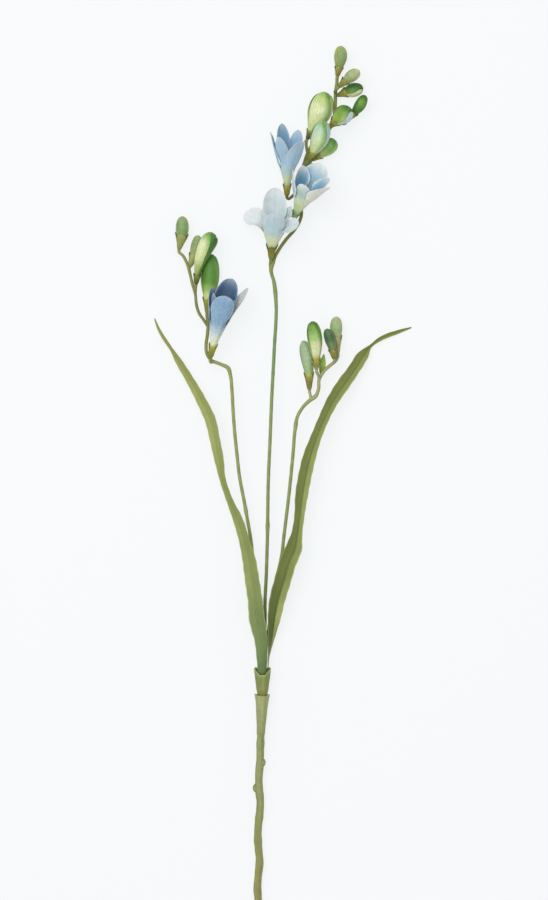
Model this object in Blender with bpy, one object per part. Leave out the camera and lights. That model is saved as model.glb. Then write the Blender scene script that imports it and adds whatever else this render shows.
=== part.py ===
# A cut freesia stem laid on a table: one stem, two leaves, three stalks with zigzag heads,
# four open flowers and sixteen buds. Lengths below are in millimetres until a mesh is made.
# The stem lies along +Y, +X is to the right seen from above, and the table is z = 0.
import math

import bmesh
import bpy
import numpy as np
from mathutils import Vector

METRES = 0.001

STEM_RADIUS = 2.65
TENON_RADIUS = 1.9
STALK_RADIUS = 1.2
PEDICEL_RADIUS = 1.05
LEAF_THICKNESS = 0.9
PETAL_THICKNESS = 0.8
SEAT_GAP = 0.35
CALYX_WALL = 0.7
CUP_FLOOR_Y = -138.0

STEM_SIDES = 10
STALK_SIDES = 6
CALYX_SIDES = 8
BUD_SIDES = 12
LOBES = 6
LOBE_STEPS = 4
LOBE_ROWS = (0.14, 0.34, 0.54, 0.74, 0.9, 1.0)

STEM_GREEN = "8f9864"
STALK_GREEN = "84924f"
LEAF_GREEN = "93a05a"
LEAF_DARK = "6f7d3d"
COLLAR_GREEN = "8a8f55"
BUD_PALE = "bccb86"
BUD_GREEN = "5f9440"
BUD_DARK = "2f5c1e"
BUD_GREY = "8da06c"
PETAL_PALE = "d3dfe6"
PETAL_BLUE = "a9c1da"
PETAL_DEEP = "8fb0cf"
STAMEN_YELLOW = "c9a21f"


def vector(values):
    return Vector([float(value) for value in values])


def smooth(value):
    value = min(max(value, 0.0), 1.0)
    return value * value * (3 - 2 * value)


def spline(points, count):
    """Points evenly spaced along a smooth curve through the given ones; any number of columns."""
    points = np.array(points, float)
    steps = np.linalg.norm(np.diff(points[:, : min(3, points.shape[1])], axis=0), axis=1)
    along = np.concatenate([[0], np.cumsum(steps)])
    slopes = np.gradient(points, along, axis=0)
    made = []
    for at in np.linspace(0, along[-1], count):
        k = min(int(np.searchsorted(along, at, side="right")) - 1, len(steps) - 1)
        h = along[k + 1] - along[k]
        t = (at - along[k]) / h
        made.append(
            (2 * t**3 - 3 * t**2 + 1) * points[k]
            + (t**3 - 2 * t**2 + t) * h * slopes[k]
            + (3 * t**2 - 2 * t**3) * points[k + 1]
            + (t**3 - t**2) * h * slopes[k + 1]
        )
    return np.array(made)


def frames(points):
    """The tangent, the level side and the upward direction at each point of a route."""
    tangents = np.gradient(np.array(points, float), axis=0)
    made = []
    for row in tangents:
        tangent = vector(row).normalized()
        side = tangent.cross(Vector((0, 0, 1))).normalized()
        made.append((tangent, side, side.cross(tangent)))
    return made


def colour(text):
    channels = [int(text[i : i + 2], 16) / 255 for i in (0, 2, 4)]
    linear = [c / 12.92 if c <= 0.04045 else ((c + 0.055) / 1.055) ** 2.4 for c in channels]
    return (*linear, 1.0)


def material(name, text, roughness=0.55):
    made = bpy.data.materials.new(name)
    made.use_nodes = True
    shader = made.node_tree.nodes["Principled BSDF"]
    shader.inputs["Base Color"].default_value = colour(text)
    shader.inputs["Roughness"].default_value = roughness
    shader.inputs["Metallic"].default_value = 0.0
    made.diffuse_color = colour(text)
    return made


def make_object(name, points, faces, text):
    mesh = bpy.data.meshes.new(name)
    mesh.from_pydata([tuple(vector(p) * METRES) for p in points], [], faces)
    shape = bmesh.new()
    shape.from_mesh(mesh)
    bmesh.ops.recalc_face_normals(shape, faces=shape.faces)
    shape.to_mesh(mesh)
    shape.free()
    mesh.shade_smooth()
    mesh.set_sharp_from_angle(angle=math.radians(45))
    mesh.materials.append(material(name, text))
    made = bpy.data.objects.new(name, mesh)
    bpy.context.scene.collection.objects.link(made)
    return made


def skin(name, rings, text, tip=None):
    """A closed body through rings of equal count, with flat ends or a pointed last end."""
    sides = len(rings[0])
    points = [p for ring in rings for p in ring]
    faces = []
    for k in range(len(rings) - 1):
        for j in range(sides):
            a = k * sides + j
            b = k * sides + (j + 1) % sides
            faces.append((a, b, b + sides, a + sides))
    faces.append(tuple(range(sides))[::-1])
    last = (len(rings) - 1) * sides
    if tip is None:
        faces.append(tuple(range(last, last + sides)))
    else:
        points.append(tip)
        faces += [(last + j, last + (j + 1) % sides, len(points) - 1) for j in range(sides)]
    return make_object(name, points, faces, text)


def ring(centre, side, up, wide, high, sides):
    turns = [2 * math.pi * (j + 0.5) / sides for j in range(sides)]
    return [centre + side * wide * math.cos(t) + up * high * math.sin(t) for t in turns]


def tube(name, route, count, radius, text, sides=STALK_SIDES, bumps=()):
    """A round stalk along a route. A bump is (y, extra radius, half length)."""
    points = spline(route, count)
    rings = []
    for point, (_, side, up) in zip(points, frames(points), strict=True):
        r = radius + sum(more * math.exp(-(((point[1] - y) / half) ** 2)) for y, more, half in bumps)
        rings.append(ring(vector(point), side, up, r, r, sides))
    return skin(name, rings, text)


def drop_scraps(mesh):
    """Keeps only the largest connected piece: a join can leave a sliver inside a tight bend."""
    shape = bmesh.new()
    shape.from_mesh(mesh)
    left = set(shape.verts)
    islands = []
    while left:
        island = set()
        frontier = [left.pop()]
        while frontier:
            vert = frontier.pop()
            island.add(vert)
            near = {edge.other_vert(vert) for edge in vert.link_edges} & left
            left -= near
            frontier.extend(near)
        islands.append(island)
    islands.sort(key=len)
    bmesh.ops.delete(shape, geom=[vert for island in islands[:-1] for vert in island], context="VERTS")
    shape.to_mesh(mesh)
    shape.free()


def fuse(name, pieces):
    """Joins the pieces into one closed body that takes the given name."""
    whole, *others = pieces
    group = bpy.data.collections.new(name + "_pieces")
    bpy.context.scene.collection.children.link(group)
    for other in others:
        bpy.context.scene.collection.objects.unlink(other)
        group.objects.link(other)
    join = whole.modifiers.new("join", "BOOLEAN")
    join.operation = "UNION"
    join.operand_type = "COLLECTION"
    join.solver = "EXACT"
    join.collection = group
    bpy.context.view_layer.objects.active = whole
    bpy.ops.object.modifier_apply(modifier=join.name)
    for other in others:
        bpy.data.objects.remove(other)
    bpy.data.collections.remove(group)
    drop_scraps(whole.data)
    kept = whole.data.materials[0]
    whole.data.materials.clear()
    whole.data.materials.append(kept)
    whole.name = name
    return whole


def heading(turn, rise):
    """The direction of a flower or bud: degrees from +Y towards +X, then degrees above level."""
    level = math.cos(math.radians(rise))
    return Vector(
        (
            level * math.sin(math.radians(turn)),
            level * math.cos(math.radians(turn)),
            math.sin(math.radians(rise)),
        )
    )


def axes(direction):
    side = direction.cross(Vector((0, 0, 1))).normalized()
    return side, side.cross(direction)


# The main stem, its crimps and knobs, and the two sleeves at its top.
STEM_ROUTE = [
    (-17.5, -309, 2.7),
    (-17.5, -289.5, 3.3),
    (-18.0, -282.5, 3.5),
    (-17.3, -272, 3.9),
    (-16.5, -263, 4.2),
    (-17.2, -254.5, 4.4),
    (-17.7, -246, 4.7),
    (-17.3, -237, 5.0),
    (-16.3, -228, 5.3),
    (-16.0, -221, 5.5),
    (-16.8, -212.5, 5.8),
    (-17.0, -205.5, 6.0),
    (-16.1, -191.5, 6.5),
    (-15.9, -181, 6.9),
    (-15.6, -174, 7.1),
]
SLEEVE_FOOT = Vector((-15.6, -173.7, 7.1))
CUP_AXIS_X = -14.4
CUP_AXIS_Z = 8.5
KNOBS = [((-14.4, -193.5, 6.5), (2.2, 3.0, 1.9)), ((-18.9, -211.5, 5.9), (2.4, 3.2, 1.9))]


def knob(centre, size):
    """A small bud scar: a rounded lump half sunk in the stem."""
    rings = []
    for k in range(1, 5):
        turn = math.pi * k / 5
        wide, high = size[0] * math.sin(turn), size[2] * math.sin(turn)
        middle = vector(centre) - Vector((0, size[1] * math.cos(turn), 0))
        rings.append(ring(middle, Vector((1, 0, 0)), Vector((0, 0, 1)), wide, high, 8))
    return skin("knob", rings, STEM_GREEN)


def main_stem():
    crimps = [(y, 0.25, 3.5) for y in range(-300, -175, 17)]
    stem = tube("stem", STEM_ROUTE, 28, STEM_RADIUS, STEM_GREEN, STEM_SIDES, crimps)
    tenon_route = [
        (-15.7, -177, 7.0),
        tuple(SLEEVE_FOOT),
        (-15.0, -160, 7.8),
        (CUP_AXIS_X, -150.6, CUP_AXIS_Z - 0.3),
    ]
    tenon = tube("tenon", tenon_route, 6, TENON_RADIUS, STEM_GREEN, STEM_SIDES)
    return fuse("main_stem", [stem, tenon] + [knob(*values) for values in KNOBS])


def shell(name, stations, wall_in, floor, rim, text, sides):
    """A turned wall. A station is (centre, radius); the floor is a station index, or None for a
    sleeve that is open at both ends. rim gives how far the last station slips along at a turn."""
    centres = [vector(c) for c, _ in stations]
    direction = (centres[-1] - centres[0]).normalized()
    side, up = axes(direction)
    turns = [2 * math.pi * (j + 0.5) / sides for j in range(sides)]
    outer = []
    inner = []
    first = 0 if floor is None else floor
    for k, (centre, (_, radius)) in enumerate(zip(centres, stations, strict=True)):
        share = max(0.0, (k - first) / (len(stations) - 1 - first)) ** 2
        inside = radius - wall_in
        outward = [(side * math.cos(t) + up * math.sin(t), direction * rim(t) * share) for t in turns]
        outer.append([centre + out * radius + slip for out, slip in outward])
        if k >= first:
            inner.append([centre + out * inside + slip for out, slip in outward])
    rings = outer + inner[::-1]
    if floor is not None:
        return skin(name, rings, text)
    points = [p for r in rings for p in r]
    faces = []
    for k in range(len(rings)):
        for j in range(sides):
            a, b = k * sides + j, k * sides + (j + 1) % sides
            c, d = (a + sides) % len(points), (b + sides) % len(points)
            faces.append((a, b, d, c))
    return make_object(name, points, faces, text)


def sheath_lower():
    stations = [
        (SLEEVE_FOOT, 2.95),
        ((-15.4, -169, 7.3), 3.05),
        ((-15.1, -162, 7.7), 3.6),
        ((-14.9, -155, 8.0), 4.1),
        ((-14.7, -150, 8.2), 4.7),
        ((-14.6, -146, 8.4), 5.5),
    ]
    return shell("sheath_lower", stations, 0.75, None, lambda t: 0.6 * math.cos(2 * t), COLLAR_GREEN, 16)


def sheath_upper():
    """The cup. Its rim dips in front, so that the base of the leaf shows, and rises at both sides."""
    profile = [(-150.2, 2.9), (-146, 3.4), (-143, 4.1), (CUP_FLOOR_Y, 4.7), (-133, 5.4), (-127, 6.0)]
    stations = [((CUP_AXIS_X, y, CUP_AXIS_Z), r) for y, r in profile]
    dip = 5.0
    return shell(
        "sheath_upper", stations, 0.75, 3, lambda t: -dip * max(0.0, math.sin(t)) ** 2, COLLAR_GREEN, 20
    )


# The leaves. Each row is x, y, z, width, roll in degrees, and half the angle that the blade's
# section bends through: over 0 the margins bend down, below 0 they fold up.
LEFT_LEAF = [
    (-14.6, -131.5, 12.3, 5.8, 0, 58),
    (-14.7, -121.5, 12.6, 7.2, 0, 55),
    (-15.4, -107.5, 13.4, 9.2, 0, 30),
    (-18.1, -93.5, 14.2, 11.3, 0, 10),
    (-19.5, -79.5, 14.8, 10.4, 0, -12),
    (-21.6, -65.5, 15.2, 10.2, 0, -18),
    (-23.7, -51.5, 15.4, 9.4, 0, -20),
    (-27.2, -37.5, 15.6, 7.6, 6, -20),
    (-31.5, -23.5, 15.8, 7.0, 10, -20),
    (-37.5, -9.5, 16.0, 5.2, 25, -20),
    (-42.6, 6.0, 16.0, 4.8, 25, -20),
    (-44.7, 18.5, 15.6, 6.7, 8, -20),
    (-47.6, 32.5, 14.8, 7.2, 0, -20),
    (-50.8, 46.5, 13.4, 7.7, 0, -20),
    (-57.4, 60.5, 11.4, 7.0, 0, -18),
    (-65.1, 74.5, 8.8, 5.8, 5, -15),
    (-73.7, 88.5, 5.6, 4.6, 15, -12),
    (-78.5, 96.5, 3.8, 2.6, 30, -8),
    (-82.6, 102.5, 2.6, 2.6, 15, -8),
    (-86.8, 109.5, 1.4, 2.1, 0, -5),
    (-90.3, 118.0, 0.5, 0.9, 0, -3),
]
RIGHT_LEAF = [
    (-10.55, -131.5, 7.5, 3.8, 105, 28),
    (-10.0, -121.5, 7.6, 4.4, 90, 20),
    (-8.0, -107.5, 9.0, 6.8, 46, 9),
    (-6.5, -93.5, 11.8, 9.0, 20, -9),
    (-4.2, -79.5, 13.8, 11.2, 7, -18),
    (-0.2, -65.5, 14.5, 11.8, 0, -20),
    (3.4, -53.0, 14.6, 12.0, 0, -20),
    (7.4, -43.5, 14.8, 11.8, 0, -20),
    (9.8, -32.0, 15.2, 7.6, 0, -20),
    (11.5, -20.0, 15.6, 7.2, 0, -20),
    (13.0, -6.0, 15.9, 9.0, 0, -20),
    (15.4, 8.0, 16.0, 9.4, 0, -20),
    (18.8, 22.0, 15.7, 9.1, 0, -20),
    (22.4, 32.6, 15.2, 7.8, 0, -20),
    (28.1, 46.6, 14.0, 7.4, 0, -20),
    (35.0, 60.6, 12.2, 8.4, 0, -20),
    (41.8, 71.0, 10.2, 9.2, 0, -18),
    (49.4, 81.6, 7.8, 8.4, 0, -16),
    (56.5, 92.5, 5.2, 7.6, 10, -14),
    (61.8, 98.8, 3.8, 2.6, 45, -6),
    (67.9, 103.3, 3.0, 3.0, 10, -5),
    (81.9, 108.9, 1.2, 2.6, 0, -5),
    (90.3, 111.7, 0.5, 0.9, 0, -3),
]
LEAF_ROWS = 46
LEAF_COLUMNS = 4


def leaf(name, rows, wave, text):
    """A blade with a keel fold and a wavy margin, thinner at its margins."""
    table = spline(rows, LEAF_ROWS)
    upper = []
    lower = []
    for k, (row, (_, side, up)) in enumerate(zip(table, frames(table[:, :3]), strict=True)):
        roll = math.radians(row[4])
        across = side * math.cos(roll) - up * math.sin(roll)
        out = up * math.cos(roll) + side * math.sin(roll)
        bend = math.radians(row[5])
        bend = bend if abs(bend) > 0.02 else 0.02
        half = row[3] / 2
        ripple = wave * math.sin(k * 1.15) * min(1.0, half / 5)
        for j in range(LEAF_COLUMNS + 1):
            u = 2 * j / LEAF_COLUMNS - 1
            shift = across * half * math.sin(u * bend) / math.sin(bend)
            shift -= out * half * (1 - math.cos(u * bend)) / math.sin(bend)
            shift += out * ripple * u * u * (1 if u > 0 else -0.6)
            lift = (out * math.cos(u * bend) + across * math.sin(u * bend)) * (
                LEAF_THICKNESS / 2 * (1 - 0.3 * u * u)
            )
            upper.append(vector(row[:3]) + shift + lift)
            lower.append(vector(row[:3]) + shift - lift)
    return make_object(name, upper + lower, blade_faces(LEAF_ROWS, LEAF_COLUMNS), text)


def blade_faces(rows, columns):
    """Triangles of a thin blade, split alike on both faces, closed at its margins and ends."""
    width = columns + 1
    below = rows * width
    faces = []
    for k in range(rows - 1):
        for j in range(columns):
            a = k * width + j
            b, c, d = a + 1, a + width + 1, a + width
            faces += [(a, b, c), (a, c, d)]
            faces += [(c + below, b + below, a + below), (d + below, c + below, a + below)]
        for a in (k * width, k * width + columns):
            faces.append((a, a + width, a + width + below, a + below))
    for j in range(columns):
        for a in (j, (rows - 1) * width + j):
            faces.append((a, a + 1, a + 1 + below, a + below))
    return faces


# Flowers. rise and turn set the axis and roll the first lobe. The lists go round the lobes: flare
# leans a lobe out, yaw leans it sideways in its own plane, and twist turns it about its length.
FLOWERS = {
    "c1": {
        "base": (-8.4, 161.4, 13.0),
        "turn": 6,
        "rise": 16,
        "roll": 90,
        "tube": 15.0,
        "foot": 1.5,
        "throat": 6.8,
        "lobe": (20, 19, 23, 32, 21, 19),
        "flare": (16, 9, 86, 8, 9, 66),
        "half_width": (7.0, 5.2, 7.4, 7.8, 5.4, 6.4),
        "yaw": (0, 0, 0, -7, -8, 0),
        "twist": (0, 0, -50, 0, 0, 55),
        "text": PETAL_PALE,
    },
    "c2": {
        "base": (2.8, 205.5, 12.0),
        "turn": 2,
        "rise": 16,
        "roll": 60,
        "tube": 16.0,
        "foot": 1.5,
        "throat": 5.4,
        "lobe": (26, 27, 28, 32, 28, 23),
        "flare": (24, 18, 14, 9, 14, 18),
        "half_width": (5.4, 4.4, 4.6, 5.2, 5.0, 4.4),
        "yaw": (-3, 3, 0, 0, 0, 0),
        "twist": (0, 0, 0, 0, 0, 0),
        "text": PETAL_BLUE,
    },
    "c3": {
        "base": (7.4, 187.6, 10.6),
        "turn": 24,
        "rise": 32,
        "roll": 40,
        "tube": 17.0,
        "foot": 1.5,
        "throat": 6.6,
        "lobe": (24, 17, 22, 21, 25, 22),
        "flare": (24, 12, 20, 16, 26, 20),
        "half_width": (7.2, 5.4, 5.4, 6.6, 8.0, 6.8),
        "yaw": (-8, 0, 0, 0, 0, 0),
        "twist": (0, 0, 0, 0, 0, 0),
        "text": PETAL_BLUE,
    },
    "l5": {
        "base": (-50.4, 92.0, 15.0),
        "turn": 13,
        "rise": 14,
        "roll": 90,
        "tube": 20.0,
        "foot": 1.5,
        "throat": 5.6,
        "lobe": (27, 25, 27, 35, 33, 23),
        "flare": (12, 7, 9, 5, 23, 8),
        "half_width": (7.0, 5.4, 6.0, 6.8, 4.6, 4.8),
        "yaw": (-6, 0, 0, 5, 0, 0),
        "twist": (0, 0, 0, 0, 0, 0),
        "text": PETAL_DEEP,
    },
}
THROAT_FLOOR = 6.0
WHORL_STEP = 1.7
LEAST_BEND = math.radians(10)


def tube_radius(flower, s):
    share = s / flower["tube"]
    return flower["foot"] + (flower["throat"] - flower["foot"]) * share**1.35


def lobe_rows(flower, index, origin, direction, out, across):
    """Centre, outward normal, width direction, half width and section angle of each row of one lobe."""
    slope = math.atan(1.35 * (flower["throat"] - flower["foot"]) / flower["tube"])
    flare = math.radians(flower["flare"][index])
    centre = origin.copy()
    start = flower["throat"] * math.sin(math.pi / LOBES)
    widest = flower["half_width"][index]
    hub = origin - out * (flower["throat"] - PETAL_THICKNESS / 2)
    wanted = list(LOBE_ROWS)
    made = []
    fine = 50
    for step in range(1, fine + 1):
        q = step / fine
        angle = slope + (flare - slope) * smooth(q * 1.2)
        yaw = math.radians(flower["yaw"][index]) * smooth(q * 1.5)
        twist = math.radians(flower["twist"][index]) * smooth(q * 1.5)
        along = direction * math.cos(angle) + out * math.sin(angle)
        centre += (along * math.cos(yaw) + across * math.sin(yaw)) * flower["lobe"][index] / fine
        if q < wanted[0] - 1e-6:
            continue
        wanted.pop(0)
        flat_normal = out * math.cos(angle) - direction * math.sin(angle)
        flat_width = across * math.cos(yaw) - along * math.sin(yaw)
        normal = flat_normal * math.cos(twist) - flat_width * math.sin(twist)
        width = flat_width * math.cos(twist) + flat_normal * math.sin(twist)
        if q < 0.5:
            half = start + (widest - start) * smooth(q * 2)
        else:
            half = widest * math.sqrt(1 - 0.9 * ((q - 0.5) * 2) ** 2.6)
        apart = WHORL_STEP * smooth(q * 4) * (0.5 if index % 2 == 0 else -0.5)
        from_axis = (centre - hub) - direction * (centre - hub).dot(direction)
        bend = max(math.asin(min(0.96, half / from_axis.length)), LEAST_BEND)
        made.append((centre + normal * apart, normal, width, half, bend))
    return made


def perianth(key):
    """A flower in one closed wall: a funnel whose rim runs on into six lobes, in two whorls."""
    flower = FLOWERS[key]
    base = vector(flower["base"])
    direction = heading(flower["turn"], flower["rise"])
    side, up = axes(direction)
    count = LOBES * LOBE_STEPS
    points = []
    faces = []

    def spoke(column):
        turn = math.radians(flower["roll"] - 30 + 360 / count * column)
        return side * math.cos(turn) + up * math.sin(turn), up * math.cos(turn) - side * math.sin(turn)

    def add_ring(s, radius):
        points.extend(base + direction * s + spoke(j)[0] * radius for j in range(count))
        return len(points) - count

    def join_rings(first, second):
        for j in range(count):
            n = (j + 1) % count
            faces.append((first + j, first + n, second + n))
            faces.append((first + j, second + n, second + j))

    outer = [add_ring(s, tube_radius(flower, s)) for s in (0, 5.0, 12.0, flower["tube"])]
    inner = [
        add_ring(s, tube_radius(flower, s) - PETAL_THICKNESS) for s in (flower["tube"], 12.0, THROAT_FLOOR)
    ]
    for pair in zip(outer, outer[1:]):
        join_rings(*pair)
    for pair in zip(inner, inner[1:]):
        join_rings(*pair)
    faces.append(tuple(range(outer[0], outer[0] + count)))
    faces.append(tuple(range(inner[-1], inner[-1] + count)))
    for index in range(LOBES):
        out, across = spoke(LOBE_STEPS * (index + 0.5))
        origin = base + direction * flower["tube"] + out * (flower["throat"] - PETAL_THICKNESS / 2)
        columns = [(LOBE_STEPS * index + j) % count for j in range(LOBE_STEPS + 1)]
        before = [outer[-1] + c for c in columns], [inner[0] + c for c in columns]
        for centre, normal, width, half, bend in lobe_rows(flower, index, origin, direction, out, across):
            rows = [], []
            for j in range(LOBE_STEPS + 1):
                u = 2 * j / LOBE_STEPS - 1
                shift = width * half * math.sin(u * bend) / math.sin(bend)
                shift -= normal * half * (1 - math.cos(u * bend)) / math.sin(bend)
                lift = normal * math.cos(u * bend) + width * math.sin(u * bend)
                for row, way in zip(rows, (0.5, -0.5), strict=True):
                    points.append(centre + shift + lift * way * PETAL_THICKNESS)
                    row.append(len(points) - 1)
            for was, now in zip(before, rows, strict=True):
                for j in range(LOBE_STEPS):
                    faces.append((was[j], was[j + 1], now[j + 1]))
                    faces.append((was[j], now[j + 1], now[j]))
            for j in (0, LOBE_STEPS):
                faces.append((before[0][j], rows[0][j], rows[1][j], before[1][j]))
            before = rows
        for j in range(LOBE_STEPS):
            faces.append((before[0][j], before[0][j + 1], before[1][j + 1], before[1][j]))
    return make_object("flower_" + key, points, faces, flower["text"])


def stamens(key):
    """A filament column that ends in three anthers side by side, standing in the throat."""
    flower = FLOWERS[key]
    direction = heading(flower["turn"], flower["rise"])
    side, up = axes(direction)
    foot = vector(flower["base"]) + direction * (THROAT_FLOOR + SEAT_GAP)
    reach = flower["tube"] + 5.0 - THROAT_FLOOR
    rings = []
    for share, radius in ((0, 0.7), (0.55, 0.8), (0.66, 1.5), (0.8, 1.8), (0.93, 1.5), (1, 0.7)):
        turns = [2 * math.pi * j / 9 for j in range(9)]
        lobed = min(1.0, max(0.0, (radius - 0.8) * 2))
        rings.append(
            [
                foot
                + direction * reach * share
                + (side * math.cos(t) + up * math.sin(t)) * radius * (1 + 0.28 * lobed * math.cos(3 * t))
                for t in turns
            ]
        )
    return skin("stamens_" + key, rings, STAMEN_YELLOW)


# Buds: base, tip, greatest width, where it is widest along the bud, sideways bow, and colour.
BUDS = {
    "bud_a": ((38.5, 289.5, 9.0), (40.6, 309.0, 8.5), 9.4, 0.62, 0.6, BUD_GREY),
    "bud_b": ((40.6, 281.0, 14.5), (53.8, 290.6, 16.0), 8.6, 0.62, -0.6, BUD_GREY),
    "bud_c": ((40.2, 275.0, 7.0), (56.4, 279.4, 6.4), 10.4, 0.58, -0.6, BUD_DARK),
    "bud_d": ((18.0, 245.5, 8.2), (30.2, 276.6, 8.4), 18.0, 0.6, 1.0, BUD_PALE),
    "bud_e1": ((33.8, 252.6, 15.4), (47.8, 264.0, 18.8), 13.6, 0.62, -0.4, BUD_GREEN),
    "bud_e2": ((47.2, 258.8, 8.4), (57.8, 274.2, 10.6), 8.2, 0.6, 0.8, BUD_DARK),
    "bud_f": ((18.6, 230.0, 18.0), (28.4, 255.4, 24.0), 13.8, 0.6, 1.8, BUD_PALE),
    "bud_g": ((22.2, 230.2, 7.0), (36.6, 243.4, 6.4), 11.6, 0.68, 0.8, BUD_GREEN),
    "bud_l1": ((-72.4, 168.0, 9.0), (-70.6, 189.6, 8.0), 9.6, 0.6, 0.8, BUD_GREY),
    "bud_l2": ((-64.6, 156.0, 8.2), (-59.4, 176.4, 6.4), 8.0, 0.6, 0.6, BUD_GREY),
    "bud_l3": ((-60.6, 143.8, 12.0), (-48.2, 177.2, 17.6), 12.6, 0.8, -2.6, BUD_PALE),
    "bud_l4": ((-53.0, 123.6, 8.6), (-50.4, 163.4, 7.2), 13.8, 0.6, 0.4, BUD_GREEN),
    "bud_r1": ((18.5, 70.0, 9.0), (14.2, 102.6, 8.0), 9.4, 0.66, 1.2, BUD_GREY),
    "bud_r2": ((23.4, 84.0, 15.0), (20.4, 115.8, 18.0), 11.0, 0.64, 0.8, BUD_GREEN),
    "bud_r3": ((35.4, 91.6, 13.0), (30.2, 110.6, 14.0), 7.8, 0.6, 0.6, BUD_DARK),
    "bud_r4": ((38.2, 95.4, 8.0), (37.6, 119.4, 7.4), 9.0, 0.66, -0.6, BUD_GREY),
}
BUD_FOOT = 1.35
BUD_FULLNESS = 0.55
BUD_ROWS = (0, 0.13, 0.28, 0.44, 0.6, 0.76, 0.89, 0.975)
TEPALS = 3


def bud_centre(key, t):
    base, tip, _, _, bow, _ = BUDS[key]
    base, tip = vector(base), vector(tip)
    side, _ = axes((tip - base).normalized())
    return base.lerp(tip, t) + side * bow * math.sin(math.pi * t)


def bud_direction(key):
    return (bud_centre(key, 0.06) - bud_centre(key, 0.0)).normalized()


def bud_radius(key, t):
    _, _, wide, belly, _, _ = BUDS[key]
    if t < belly:
        swell = BUD_FULLNESS * math.sin(math.pi / 2 * t / belly) + (1 - BUD_FULLNESS) * smooth(t / belly)
        return BUD_FOOT + (wide / 2 - BUD_FOOT) * swell
    return wide / 2 * math.sqrt(1 - ((t - belly) / (1 - belly)) ** 2.2)


def bud(key):
    """A club of three overlapping tepals: each wraps over the next, with a step at its edge."""
    centres = [bud_centre(key, t) for t in BUD_ROWS]
    rings = []
    for t, centre, (_, side, up) in zip(BUD_ROWS, centres, frames(centres), strict=True):
        radius = bud_radius(key, t)
        depth = 0.12 * smooth((t - 0.2) * 3)
        row = []
        for j in range(BUD_SIDES):
            turn = 2 * math.pi * j / BUD_SIDES + 0.5 * t
            step = (j * TEPALS / BUD_SIDES) % 1
            reach = radius * (1 - depth * step)
            row.append(centre + side * reach * math.cos(turn) + up * reach * 0.92 * math.sin(turn))
        rings.append(row)
    return skin(key, rings, BUDS[key][5], tip=bud_centre(key, 1.0))


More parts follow.
